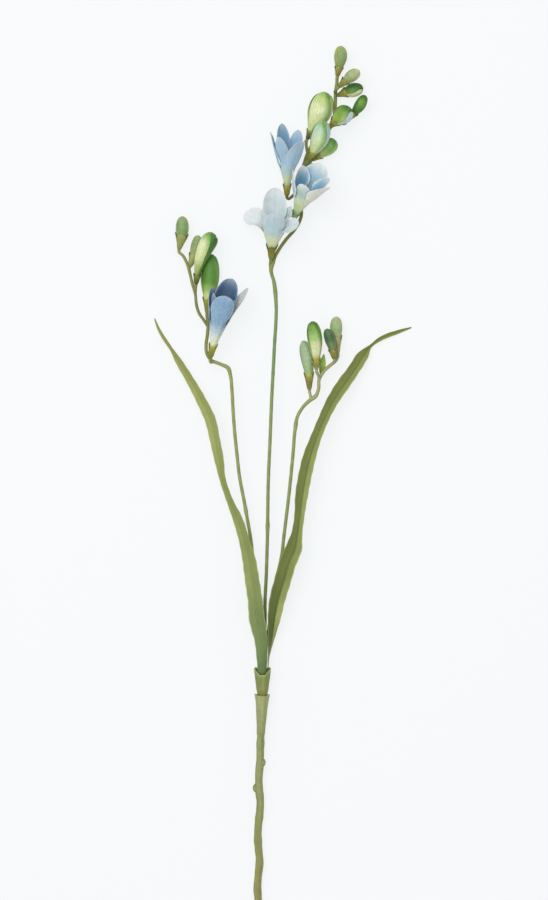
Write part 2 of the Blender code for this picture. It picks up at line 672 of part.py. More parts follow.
# Stalks, their heads, and the calyx cups that the flowers and buds sit in.
STALKS = {
    "stalk_left": {
        "route": [
            (-16.3, CUP_FLOOR_Y + 0.3, 7.3),
            (-16.9, -120, 7.4),
            (-19.0, -90, 7.8),
            (-20.6, -60, 8.2),
            (-22.5, -37.5, 8.6),
            (-24.9, -23.5, 9.0),
            (-27.4, -9.5, 9.4),
            (-30.1, 4.5, 9.8),
            (-32.6, 25.5, 10.2),
            (-34.0, 39.5, 10.4),
            (-35.0, 53.5, 10.6),
            (-35.8, 67.5, 10.8),
            (-36.9, 78.0, 10.9),
            (-38.4, 82.8, 10.9),
            (-44.1, 85.8, 11.0),
            (-50.4, 88.6, 11.2),
            (-53.6, 94.2, 11.0),
            (-53.9, 99.0, 10.8),
            (-53.0, 106.0, 10.4),
            (-52.6, 115.0, 9.6),
        ],
        "ends_in": "bud_l4",
        "steps": 50,
        "bumps": [(-16.5, 0.25, 2.5), (82, 0.3, 3)],
        "branches": [
            ("l5", [(-48.4, 87.6, 11.1), (-50.6, 87.0, 12.8)]),
            ("bud_l1", [
                (-52.8, 112.5, 9.8),
                (-56.0, 117.3, 9.6),
                (-58.6, 121.0, 9.4),
                (-60.6, 127.0, 9.3),
                (-61.6, 135.5, 9.2),
                (-63.4, 141.5, 9.2),
                (-65.2, 149.0, 9.2),
                (-67.4, 156.5, 9.2),
                (-70.0, 161.6, 9.2),
            ]),
            ("bud_l3", [(-61.6, 135.5, 9.2)]),
            ("bud_l2", [(-65.2, 149.0, 9.2)]),
        ],
        "bracts": [],
    },
    "stalk_right": {
        "route": [
            (-13.1, CUP_FLOOR_Y + 0.3, 6.4),
            (-12.0, -115, 7.0),
            (-8.6, -90, 7.8),
            (-4.6, -65, 8.4),
            (-0.9, -48, 8.8),
            (0.6, -35, 9.1),
            (2.0, -23.5, 9.3),
            (3.7, -9.5, 9.6),
            (5.2, 4.5, 9.8),
            (7.2, 25.5, 10.2),
            (8.4, 39.5, 10.5),
            (10.5, 50.0, 10.6),
            (13.6, 55.2, 10.6),
            (18.9, 60.5, 10.4),
            (22.8, 63.4, 10.2),
            (24.9, 68.5, 10.2),
            (25.2, 74.5, 10.3),
            (28.7, 80.9, 10.3),
            (32.4, 84.4, 10.1),
            (36.8, 88.2, 9.4),
        ],
        "ends_in": "bud_r4",
        "steps": 44,
        "bumps": [(43, 0.3, 2.5), (62, 0.3, 3)],
        "branches": [
            ("bud_r1", [(19.8, 61.0, 10.4), (19.2, 63.6, 10.0)]),
            ("bud_r2", [(25.1, 73.0, 10.3), (25.0, 77.0, 12.0)]),
            ("bud_r3", [(33.6, 85.4, 10.0), (35.4, 87.0, 11.4)]),
        ],
        "bracts": [((27.0, 79.0, 10.4), (28.6, 93.0, 11.6), 4.4)],
    },
    "stalk_centre": {
        "route": [
            (-14.0, CUP_FLOOR_Y + 0.3, 9.2),
            (-13.4, -115, 9.3),
            (-12.6, -93.5, 9.4),
            (-12.6, -79.5, 9.6),
            (-11.9, -65.5, 9.8),
            (-11.0, -37.5, 10.2),
            (-10.3, 4.5, 10.8),
            (-9.1, 32.5, 11.0),
            (-8.0, 60.5, 11.2),
            (-6.2, 95.5, 11.2),
            (-5.0, 130.5, 11.0),
            (-6.3, 143.0, 10.8),
            (-8.4, 152.0, 10.4),
            (-6.6, 159.0, 9.4),
            (-2.6, 166.5, 8.4),
            (2.4, 173.5, 8.0),
            (8.0, 180.0, 7.8),
            (12.6, 189.0, 7.2),
            (12.0, 200.0, 6.8),
            (10.4, 210.0, 7.0),
            (13.2, 221.0, 7.8),
            (15.6, 229.0, 8.6),
            (19.2, 237.6, 8.2),
            (27.4, 245.0, 6.4),
            (34.2, 253.4, 6.2),
            (36.4, 264.0, 7.2),
            (36.8, 276.0, 8.2),
            (37.8, 284.0, 8.8),
        ],
        "ends_in": "bud_a",
        "steps": 62,
        "bumps": [(-28, 0.35, 2.5), (137, 0.3, 6), (156, 0.5, 4)],
        "branches": [
            ("c1", [(-8.3, 151.0, 10.5), (-9.0, 155.0, 10.2)]),
            ("c3", [(6.6, 178.4, 7.8), (6.4, 182.0, 8.0)]),
            ("c2", [(10.8, 208.0, 6.9), (7.0, 204.0, 7.6), (4.0, 201.6, 9.0)]),
            ("bud_f", [(15.4, 228.0, 8.5), (15.0, 225.6, 12.6)]),
            ("bud_g", [(14.2, 224.0, 8.1), (17.4, 225.4, 7.4)]),
            ("bud_d", [(17.2, 234.0, 8.5), (16.4, 238.0, 8.4)]),
            ("bud_e1", [(33.4, 252.0, 6.2), (31.6, 249.0, 10.0)]),
            ("bud_e2", [(35.8, 258.6, 6.6), (40.5, 254.8, 6.6), (43.4, 254.6, 7.0)]),
            ("bud_c", [(36.6, 270.8, 7.8)]),
            ("bud_b", [(36.8, 275.6, 8.2), (36.4, 276.8, 11.6)]),
        ],
        "bracts": [((14.6, 225.5, 8.2), (26.0, 223.4, 6.4), 4.6)],
    },
}


def seat(key):
    """Where a flower or bud stands: its foot and its direction there."""
    if key in FLOWERS:
        return vector(FLOWERS[key]["base"]), heading(FLOWERS[key]["turn"], FLOWERS[key]["rise"])
    return bud_centre(key, 0), bud_direction(key)


def foot_radius(key, s):
    """How thick the foot of a flower or bud is, s millimetres along it."""
    if key in FLOWERS:
        return tube_radius(FLOWERS[key], s)
    length = (vector(BUDS[key][1]) - vector(BUDS[key][0])).length
    return bud_radius(key, min(1.0, s * 1.1 / length))


def calyx(key):
    """The cup round the foot of a flower or bud, with two taller sides, and its solid foot."""
    base, direction = seat(key)
    deep = 5.4 if key in FLOWERS else 3.8
    clear = SEAT_GAP + CALYX_WALL
    stations = [
        (base - direction * 2.4, PEDICEL_RADIUS + 0.2),
        (base - direction * SEAT_GAP, foot_radius(key, 1.0) + clear),
        (base + direction * deep * 0.55, foot_radius(key, deep * 0.7) + clear),
        (base + direction * deep, foot_radius(key, deep * 1.1) + clear),
    ]
    return shell("calyx", stations, CALYX_WALL, 1, lambda t: 0.6 * math.cos(2 * t), STALK_GREEN, CALYX_SIDES)


def to_seat(key, points):
    """A route that goes on to a calyx and enters its solid foot along the calyx's own axis."""
    base, direction = seat(key)
    return points + [tuple(base - direction * 3.2), tuple(base - direction * 1.3)]


def bract(base, tip, wide):
    """A small pointed scale leaf on a stalk."""
    base, tip = vector(base), vector(tip)
    side, up = axes((tip - base).normalized())
    rings = []
    for t, share in ((0, 0.5), (0.3, 0.95), (0.55, 1.0), (0.8, 0.6), (0.96, 0.2)):
        rings.append(ring(base.lerp(tip, t), side, up, wide / 2 * share, 0.9 * share + 0.15, 8))
    return skin("bract", rings, STALK_GREEN, tip=tip)


def stalk(name):
    made = STALKS[name]
    route = to_seat(made["ends_in"], made["route"])
    pieces = [tube("stalk", route, made["steps"], STALK_RADIUS, STALK_GREEN, STALK_SIDES, made["bumps"])]
    pieces.append(calyx(made["ends_in"]))
    for key, points in made["branches"]:
        pieces.append(tube("pedicel", to_seat(key, points), 4 + len(points) * 2, PEDICEL_RADIUS, STALK_GREEN))
        pieces.append(calyx(key))
    pieces += [bract(*values) for values in made["bracts"]]
    return fuse(name, pieces)


def build():
    for old in list(bpy.data.objects):
        bpy.data.objects.remove(old)
    main_stem()
    sheath_lower()
    sheath_upper()
    for name in STALKS:
        stalk(name)
    leaf("leaf_left", LEFT_LEAF, 0.5, LEAF_GREEN)
    leaf("leaf_right", RIGHT_LEAF, 0.8, LEAF_DARK)
    for key in FLOWERS:
        perianth(key)
        stamens(key)
    for key in BUDS:
        bud(key)


build()
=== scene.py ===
# A cut freesia spray that lies on a pale table, seen from straight above.
# Places and sizes are in millimetres here and become metres when a mesh is placed.
import math

import bpy
import numpy as np
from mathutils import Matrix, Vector


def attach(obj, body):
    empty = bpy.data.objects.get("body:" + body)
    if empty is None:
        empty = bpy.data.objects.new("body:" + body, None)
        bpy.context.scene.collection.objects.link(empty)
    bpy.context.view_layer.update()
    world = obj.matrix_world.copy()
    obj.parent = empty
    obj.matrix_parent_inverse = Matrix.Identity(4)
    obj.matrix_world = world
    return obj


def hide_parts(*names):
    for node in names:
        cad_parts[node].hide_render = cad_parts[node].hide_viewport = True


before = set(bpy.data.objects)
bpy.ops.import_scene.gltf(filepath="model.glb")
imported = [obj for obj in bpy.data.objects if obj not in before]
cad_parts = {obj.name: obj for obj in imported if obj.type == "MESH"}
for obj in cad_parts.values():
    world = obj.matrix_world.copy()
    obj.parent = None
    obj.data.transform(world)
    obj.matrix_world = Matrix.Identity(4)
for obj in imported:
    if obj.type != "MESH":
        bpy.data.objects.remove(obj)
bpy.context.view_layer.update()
mm = 0.001
print("frame loaded:", len(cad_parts), "nodes")


# Small helpers for colour, curves and sheets.
def toLinear(text):
    channels = [int(text[i : i + 2], 16) / 255 for i in (0, 2, 4)]
    return np.array([c / 12.92 if c <= 0.04045 else ((c + 0.055) / 1.055) ** 2.4 for c in channels])


def ease(value):
    value = min(max(value, 0.0), 1.0)
    return value * value * (3 - 2 * value)


def gradient(stops, at):
    # stops are (place, hex colour) pairs in rising order
    if at <= stops[0][0]:
        return toLinear(stops[0][1])
    for (a, first), (b, second) in zip(stops, stops[1:]):
        if at <= b:
            return toLinear(first) + (toLinear(second) - toLinear(first)) * ease((at - a) / (b - a))
    return toLinear(stops[-1][1])


def blend(first, second, share):
    return first + (second - first) * min(max(share, 0.0), 1.0)


def smoothRoute(points, count):
    points = np.array(points, float)
    steps = np.linalg.norm(np.diff(points[:, :3], axis=0), axis=1)
    along = np.concatenate([[0], np.cumsum(steps)])
    slopes = np.gradient(points, along, axis=0)
    made = []
    for at in np.linspace(0, along[-1], count):
        k = min(int(np.searchsorted(along, at, side="right")) - 1, len(steps) - 1)
        h = along[k + 1] - along[k]
        t = (at - along[k]) / h
        made.append(
            (2 * t**3 - 3 * t**2 + 1) * points[k]
            + (t**3 - 2 * t**2 + t) * h * slopes[k]
            + (3 * t**2 - 2 * t**3) * points[k + 1]
            + (t**3 - t**2) * h * slopes[k + 1]
        )
    return np.array(made)


def routeFrames(points):
    made = []
    for row in np.gradient(np.array(points, float), axis=0):
        tangent = Vector(row).normalized()
        side = tangent.cross(Vector((0, 0, 1))).normalized()
        made.append((tangent, side, side.cross(tangent)))
    return made


def heading(turn, rise):
    level = math.cos(math.radians(rise))
    turn = math.radians(turn)
    return Vector((level * math.sin(turn), level * math.cos(turn), math.sin(math.radians(rise))))


def axesOf(direction):
    side = direction.cross(Vector((0, 0, 1))).normalized()
    return side, side.cross(direction)


def pick(piece):
    bpy.ops.object.select_all(action="DESELECT")
    piece.select_set(True)
    bpy.context.view_layer.objects.active = piece


def makeSheet(name, columns, rows, place, paint, lining=None):
    # a grid whose points are moved by place(u, v), u from -1 to 1 across and v from 0 to 1 along
    bpy.ops.object.select_all(action="DESELECT")
    bpy.ops.mesh.primitive_grid_add(x_subdivisions=columns, y_subdivisions=rows, size=2)
    piece = bpy.context.object
    piece.name = piece.data.name = name
    front = piece.data.color_attributes.new("tint", "FLOAT_COLOR", "POINT")
    back = piece.data.color_attributes.new("lining", "FLOAT_COLOR", "POINT")
    lining = lining or paint
    for vert in piece.data.vertices:
        u, v = vert.co.x, (vert.co.y + 1) / 2
        front.data[vert.index].color = (*paint(u, v), 1)
        back.data[vert.index].color = (*lining(u, v), 1)
        vert.co = place(u, v) * mm
    return piece


def mergeDoubles(piece):
    pick(piece)
    bpy.ops.object.mode_set(mode="EDIT")
    bpy.ops.mesh.select_all(action="SELECT")
    bpy.ops.mesh.remove_doubles(threshold=0.004 * mm)
    bpy.ops.object.mode_set(mode="OBJECT")


def joinAll(pieces, name):
    bpy.ops.object.select_all(action="DESELECT")
    for piece in pieces:
        piece.select_set(True)
    bpy.context.view_layer.objects.active = pieces[0]
    if len(pieces) > 1:
        bpy.ops.object.join()
    whole = bpy.context.object
    whole.name = whole.data.name = name
    return whole


def thicken(piece, thickness, offset=-1.0):
    # gives a sheet its thickness, inwards unless offset is 0, then smooths it once
    pick(piece)
    wall = piece.modifiers.new("wall", "SOLIDIFY")
    wall.thickness = thickness * mm
    wall.offset = offset
    wall.material_offset = 1
    wall.material_offset_rim = 0
    bpy.ops.object.modifier_apply(modifier=wall.name)
    soft = piece.modifiers.new("soft", "SUBSURF")
    soft.levels = soft.render_levels = 1
    bpy.ops.object.modifier_apply(modifier=soft.name)


def dress(piece, *materials):
    piece.data.materials.clear()
    for item in materials:
        piece.data.materials.append(item)


def settle(piece, nodes, angle=50):
    pick(piece)
    bpy.ops.object.shade_smooth_by_angle(angle=math.radians(angle))
    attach(piece, "root")
    if nodes:
        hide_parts(*nodes)


def makeTube(name, points, radii, sides, paint, ridge=0.0, ridges=5):
    # a closed tube: one more row before the first point and after the last closes the ends
    turns = routeFrames(points)
    last = len(points) - 1

    def place(u, v):
        k = round(v * (last + 2)) - 1
        j = min(max(k, 0), last)
        tangent, side, up = turns[j]
        angle = -math.pi * u
        reach = radii[j] * (1 + ridge * math.cos(ridges * angle)) if j == k else 0.0
        return Vector(points[j]) + (side * math.cos(angle) + up * math.sin(angle)) * reach

    def paintRow(u, v):
        return paint(u, points[min(max(round(v * (last + 2)) - 1, 0), last)])

    piece = makeSheet(name, sides, last + 2, place, paintRow)
    mergeDoubles(piece)
    return piece


# Materials. Each one takes its ground colour from the piece's tint, painted point by point.
def addNode(tree, kind, settings=None, links=None):
    node = tree.nodes.new(kind)
    for key, value in (settings or {}).items():
        if isinstance(key, int) or key in node.inputs:
            node.inputs[key].default_value = value
        else:
            setattr(node, key, value)
    for key, source in (links or {}).items():
        tree.links.new(source, node.inputs[key])
    return node


def makeMaterial(name, look):
    made = bpy.data.materials.new(name)
    made.use_nodes = True
    tree = made.node_tree
    shader = tree.nodes["Principled BSDF"]
    for key in ("Roughness", "Sheen Weight", "Sheen Roughness", "Subsurface Weight", "Subsurface Scale", "IOR"):
        if key in look:
            shader.inputs[key].default_value = look[key]
    tint = addNode(tree, "ShaderNodeAttribute", {"attribute_name": look["attribute"]})
    places = addNode(tree, "ShaderNodeTexCoord")
    # blotches: slow changes of tone, a few millimetres wide
    blotch = addNode(
        tree, "ShaderNodeTexNoise", {"Scale": 1000 / look["blotch"], "Detail": 3.0, "Roughness": 0.6},
        {"Vector": places.outputs["Object"]},
    )
    tone = addNode(
        tree, "ShaderNodeMapRange", {"From Min": 0.3, "From Max": 0.7, "To Min": look["dark"], "To Max": 1.0},
        {"Value": blotch.outputs["Fac"]},
    )
    # veins: bands across the piece's own UV map, bent a little so that none runs dead straight
    bands = addNode(
        tree, "ShaderNodeTexWave",
        {
            "bands_direction": "X", "Scale": look["veins"] * math.pi / 10, "Distortion": 1.2, "Detail": 2.0,
            "Detail Scale": 0.6,
        },
        {"Vector": places.outputs["UV"]},
    )
    veinTone = addNode(
        tree, "ShaderNodeMapRange",
        {"From Min": 0.0, "From Max": 0.45, "To Min": look["veinDark"], "To Max": 1.0},
        {"Value": bands.outputs["Fac"]},
    )
    both = addNode(
        tree, "ShaderNodeMath", {"operation": "MULTIPLY"},
        {0: tone.outputs["Result"], 1: veinTone.outputs["Result"]},
    )
    ground = addNode(
        tree, "ShaderNodeMix", {"data_type": "RGBA", "blend_type": "MULTIPLY", 0: 1.0},
        {6: tint.outputs["Color"], 7: both.outputs["Value"]},
    )
    tree.links.new(ground.outputs[2], shader.inputs["Base Color"])
    # grain: the fine tooth of the surface
    grain = addNode(
        tree, "ShaderNodeTexNoise", {"Scale": 1000 / look["grain"], "Detail": 2.0},
        {"Vector": places.outputs["Object"]},
    )
    height = addNode(
        tree, "ShaderNodeMath", {"operation": "MULTIPLY_ADD", 1: look["grainShare"]},
        {0: grain.outputs["Fac"], 2: bands.outputs["Fac"]},
    )
    bump = addNode(
        tree, "ShaderNodeBump", {"Strength": look["bump"], "Distance": look["depth"] * mm},
        {"Height": height.outputs["Value"]},
    )
    tree.links.new(bump.outputs["Normal"], shader.inputs["Normal"])
    gloss = addNode(
        tree, "ShaderNodeMapRange", {"To Min": look["Roughness"] - 0.08, "To Max": look["Roughness"] + 0.1},
        {"Value": blotch.outputs["Fac"]},
    )
    tree.links.new(gloss.outputs["Result"], shader.inputs["Roughness"])
    return made


# polyester satin, heat pressed into petals: fine lengthwise veins, a soft sheen, light soaks in
petalLook = {
    "attribute": "tint", "Roughness": 0.6, "Sheen Weight": 0.15, "Sheen Roughness": 0.5, "IOR": 1.45,
    "Subsurface Weight": 0.3, "Subsurface Scale": 0.0012, "blotch": 5.0, "dark": 0.88, "veins": 13,
    "veinDark": 0.9, "grain": 0.5, "grainShare": 0.5, "bump": 0.5, "depth": 0.12,
}
# pressed polyester leaf, printed green: close parallel veins that run the whole blade
leafLook = {
    "attribute": "tint", "Roughness": 0.55, "Sheen Weight": 0.1, "Sheen Roughness": 0.4, "IOR": 1.45,
    "Subsurface Weight": 0.08, "Subsurface Scale": 0.001, "blotch": 9.0, "dark": 0.86, "veins": 11,
    "veinDark": 0.86, "grain": 0.6, "grainShare": 0.6, "bump": 0.6, "depth": 0.14,
}
# moulded polyethylene stem: matt, mottled, faint lengthwise drag lines
stemLook = {
    "attribute": "tint", "Roughness": 0.6, "Sheen Weight": 0.0, "IOR": 1.5, "Subsurface Weight": 0.05,
    "Subsurface Scale": 0.001, "blotch": 4.0, "dark": 0.8, "veins": 9, "veinDark": 0.88, "grain": 0.5,
    "grainShare": 0.9, "bump": 0.6, "depth": 0.12,
}
# soft moulded bud skin: satin, speckled, with streaks from foot to tip
budLook = {
    "attribute": "tint", "Roughness": 0.5, "Sheen Weight": 0.1, "Sheen Roughness": 0.4, "IOR": 1.45,
    "Subsurface Weight": 0.12, "Subsurface Scale": 0.001, "blotch": 2.4, "dark": 0.78, "veins": 12,
    "veinDark": 0.86, "grain": 0.4, "grainShare": 0.7, "bump": 0.45, "depth": 0.1,
}
# flocked anther: powdery and rough, like pollen
antherLook = {
    "attribute": "tint", "Roughness": 0.85, "Sheen Weight": 0.3, "Sheen Roughness": 0.6, "IOR": 1.45,
    "Subsurface Weight": 0.0, "blotch": 0.8, "dark": 0.75, "veins": 3, "veinDark": 0.85, "grain": 0.25,
    "grainShare": 1.5, "bump": 0.9, "depth": 0.15,
}

petalOuter = makeMaterial("pressedSatinPetal", petalLook)
petalInner = makeMaterial("pressedSatinPetalInside", {**petalLook, "attribute": "lining"})
leafCloth = makeMaterial("pressedPolyesterLeaf", leafLook)
leafBack = makeMaterial("pressedPolyesterLeafUnderside", {**leafLook, "attribute": "lining"})
stemPlastic = makeMaterial("mouldedPolyethyleneStem", stemLook)
budSkin = makeMaterial("mouldedBudSkin", budLook)
antherFlock = makeMaterial("flockedAnther", antherLook)
print("materials made")


# The main stem, with its crimps and two bud scars.
mainStem = {
    "radius": 2.65,
    "route": [
        (-17.5, -309, 2.7), (-17.5, -289.5, 3.3), (-18.0, -282.5, 3.5), (-17.3, -272, 3.9),
        (-16.5, -263, 4.2), (-17.2, -254.5, 4.4), (-17.7, -246, 4.7), (-17.3, -237, 5.0),
        (-16.3, -228, 5.3), (-16.0, -221, 5.5), (-16.8, -212.5, 5.8), (-17.0, -205.5, 6.0),
        (-16.1, -191.5, 6.5), (-15.9, -181, 6.9), (-15.6, -174, 7.1), (-15.2, -164, 7.6),
        (-14.6, -152, 8.1),
    ],
    "crimps": range(-300, -175, 17),
    "knobs": [(-14.4, -193.5, 6.5, 2.2, 3.0, 1.9), (-18.9, -211.5, 5.9, 2.4, 3.2, 1.9)],
    "colours": [
        (-309, "8b8d4c"), (-268, "918f52"), (-240, "8c9254"), (-205, "92965e"), (-180, "8b9560"),
        (-150, "858f52"),
    ],
}


def buildStem():
    points = smoothRoute(mainStem["route"], 420)
    radii = []
    for point in points:
        y = point[1]
        radius = mainStem["radius"]
        radius += sum(0.25 * math.exp(-(((y - at) / 3.5) ** 2)) for at in mainStem["crimps"])
        radius += 0.05 * math.sin(y * 0.83) + 0.03 * math.sin(y * 2.3 + 1)
        if y > -174:
            radius = 1.9 + (radius - 1.9) * ease((-172 - y) / 2)
        radii.append(radius)

    def paint(u, point):
        shade = 1 + 0.06 * math.sin(9 * u + point[1] * 0.06) + 0.03 * math.sin(17 * u + point[1] * 0.15)
        return gradient(mainStem["colours"], point[1]) * shade

    pieces = [makeTube("stem", points, radii, 28, paint, 0.025, 7)]
    # each knob: its centre, then half its width, length and height
    for x, y, z, wide, long, high in mainStem["knobs"]:
        bpy.ops.object.select_all(action="DESELECT")
        bpy.ops.mesh.primitive_uv_sphere_add(segments=24, ring_count=14, radius=1)
        scar = bpy.context.object
        for attribute in ("tint", "lining"):
            scar.data.color_attributes.new(attribute, "FLOAT_COLOR", "POINT")
        for vert in scar.data.vertices:
            dent = 1 + 0.08 * math.sin(vert.co.x * 7) * math.cos(vert.co.y * 5)
            # a scar is browner on its crown
            shade = blend(toLinear("8f9660"), toLinear("77703a"), max(0.0, vert.co.z * vert.co.y))
            scar.data.color_attributes["tint"].data[vert.index].color = (*shade, 1)
            spread = Vector((vert.co.x * wide * dent, vert.co.y * long, vert.co.z * high * dent))
            vert.co = (Vector((x, y, z)) + spread) * mm
        pieces.append(scar)
    for piece in pieces:
        dress(piece, stemPlastic)
    settle(joinAll(pieces, "stemMain"), ["main_stem"])


buildStem()


# The two sleeves at the top of the stem: stations are centres and outer radii, dip is the low front of
# the cup's rim, and the cup's floor is what the stalks stand in.
sleeveLower = {
    "stations": [
        (-15.6, -173.7, 7.1, 2.95), (-15.4, -169, 7.3, 3.05), (-15.1, -162, 7.7, 3.6),
        (-14.9, -155, 8.0, 4.1), (-14.7, -150, 8.2, 4.7), (-14.6, -146, 8.4, 5.5),
    ],
    "wall": 0.7, "colours": [(0, "8e9660"), (0.5, "999f68"), (1, "a5a871")],
}
cupUpper = {
    "stations": [
        (-14.4, -150.2, 8.5, 2.9), (-14.4, -146, 8.5, 3.4), (-14.4, -143, 8.5, 4.1),
        (-14.4, -138, 8.5, 4.7), (-14.4, -133, 8.5, 5.4), (-14.4, -127, 8.5, 6.0),
    ],
    "wall": 0.7, "dip": 5.0, "colours": [(0, "7d8440"), (0.35, "868b48"), (0.8, "7e8d4a"), (1, "9aa063")],
    "floor": [(-14.4, -150, 8.5), (-14.4, -144, 8.5), (-14.4, -138.2, 8.5)], "floorColour": "6f7a3c",
}


def buildSleeve(name, sleeve, rim):
    rows = 28
    table = smoothRoute(sleeve["stations"], rows + 1)
    direction = Vector(table[-1][:3] - table[0][:3]).normalized()
    side, up = axesOf(direction)

    def place(u, v):
        row = table[round(v * rows)]
        angle = -math.pi * u
        out = side * math.cos(angle) + up * math.sin(angle)
        ripple = 1 + 0.03 * v * math.sin(6 * angle) + 0.012 * math.sin(11 * angle + 9 * v)
        return Vector(row[:3]) + out * row[3] * ripple + direction * rim(angle) * v * v

    def paint(u, v):
        return gradient(sleeve["colours"], v) * (1 + 0.06 * math.sin(14 * u + 3 * v))

    piece = makeSheet(name, 48, rows, place, paint)
    mergeDoubles(piece)
    dress(piece, stemPlastic, stemPlastic)
    thicken(piece, sleeve["wall"])
    return piece


lower = buildSleeve("sleeveLower", sleeveLower, lambda angle: 0.6 * math.cos(2 * angle))
settle(lower, ["sheath_lower"])


def buildCup():
    def rim(angle):
        return -cupUpper["dip"] * max(0.0, math.sin(angle)) ** 2 + 0.35 * math.sin(9 * angle)

    cup = buildSleeve("cupWall", cupUpper, rim)
    points = smoothRoute(cupUpper["floor"], 14)
    radii = [2.5 + 1.6 * ease((point[1] + 150) / 12) for point in points]
    plug = makeTube("cupFloor", points, radii, 32, lambda u, point: toLinear(cupUpper["floorColour"]))
    dress(plug, stemPlastic)
    settle(joinAll([cup, plug], "cupUpper"), ["sheath_upper"])


buildCup()
print("stem and sleeves made")


# The leaves: each row is x, y, z, width, roll and half the angle that the section bends through.
leftLeaf = {
    "rows": [
        (-14.6, -131.5, 12.3, 5.8, 0, 58), (-14.7, -121.5, 12.6, 7.2, 0, 55),
        (-15.4, -107.5, 13.4, 9.2, 0, 30), (-18.1, -93.5, 14.2, 11.3, 0, 10),
        (-19.5, -79.5, 14.8, 10.4, 0, -12), (-21.6, -65.5, 15.2, 10.2, 0, -18),
        (-23.7, -51.5, 15.4, 9.4, 0, -20), (-27.2, -37.5, 15.6, 7.6, 6, -20),
        (-31.5, -23.5, 15.8, 7.0, 10, -20), (-37.5, -9.5, 16.0, 5.2, 25, -20),
        (-42.6, 6.0, 16.0, 4.8, 25, -20), (-44.7, 18.5, 15.6, 6.7, 8, -20),
        (-47.6, 32.5, 14.8, 7.2, 0, -20), (-50.8, 46.5, 13.4, 7.7, 0, -20),
        (-57.4, 60.5, 11.4, 7.0, 0, -18), (-65.1, 74.5, 8.8, 5.8, 5, -15), (-73.7, 88.5, 5.6, 4.6, 15, -12),
        (-78.5, 96.5, 3.8, 2.6, 30, -8), (-82.6, 102.5, 2.6, 2.6, 15, -8), (-86.8, 109.5, 1.4, 2.1, 0, -5),
        (-90.3, 118.0, 0.5, 0.9, 0, -3),
    ],
    "wave": 0.5, "thickness": 0.5, "fold": 0.0, "creaseShade": 0.03,
    # the left half is painted as the lit side of the keel and the right half as its shaded side, in painted
    # light and shade
    "left": [(0, "617c42"), (0.12, "76894f"), (0.25, "8d9958"), (0.6, "9aa35c"), (1, "9a9f52")],
    "right": [(0, "5c773c"), (0.12, "6f8348"), (0.25, "7e8b49"), (0.6, "8a944e"), (1, "8d9348")],
    "margin": "b9bd7c",
}
rightLeaf = {
    "rows": [
        (-10.55, -131.5, 7.5, 3.8, 105, 28), (-10.0, -121.5, 7.6, 4.4, 90, 20),
        (-8.0, -107.5, 9.0, 6.8, 46, 9), (-6.5, -93.5, 11.8, 9.0, 20, -9),
        (-4.2, -79.5, 13.8, 11.2, 7, -18), (-0.2, -65.5, 14.5, 11.8, 0, -20),
        (3.4, -53.0, 14.6, 12.0, 0, -20), (7.4, -43.5, 14.8, 11.8, 0, -20), (9.8, -32.0, 15.2, 7.6, 0, -20),
        (11.5, -20.0, 15.6, 7.2, 0, -20), (13.0, -6.0, 15.9, 9.0, 0, -20), (15.4, 8.0, 16.0, 9.4, 0, -20),
        (18.8, 22.0, 15.7, 9.1, 0, -20), (22.4, 32.6, 15.2, 7.8, 0, -20), (28.1, 46.6, 14.0, 7.4, 0, -20),
        (35.0, 60.6, 12.2, 8.4, 0, -20), (41.8, 71.0, 10.2, 9.2, 0, -18), (49.4, 81.6, 7.8, 8.4, 0, -16),
        (56.5, 92.5, 5.2, 7.6, 10, -14), (61.8, 98.8, 3.8, 2.6, 45, -6), (67.9, 103.3, 3.0, 3.0, 10, -5),
        (81.9, 108.9, 1.2, 2.6, 0, -5), (90.3, 111.7, 0.5, 0.9, 0, -3),
    ],
    "wave": 0.8, "thickness": 0.5, "fold": 0.2, "creaseShade": 0.22,
    # the left half is the inside of the channel, painted dark as painted shade and darkest near the foot; the
    # right half is painted as the lit side
    "left": [
        (0, "7f8a48"), (0.1, "4f5d1e"), (0.2, "5c6a26"), (0.33, "68742f"), (0.6, "6f7a34"), (1, "737c38"),
    ],
    "right": [
        (0, "8f9654"), (0.14, "97a05c"), (0.28, "7b863c"), (0.45, "8c9850"), (0.7, "7f8a42"), (1, "8b934c"),
    ],
    "margin": "a9b06a",
}


# what both leaves share: the keel's depth and width, the crinkle of the blade and the bite of its margin
leafForm = {
    "rows": 210, "columns": 22, "keel": 0.45, "keelWide": 0.13, "crinkle": 0.14, "bite": 0.16,
    "leastBend": 0.02, "waves": 45 * 1.15,
}


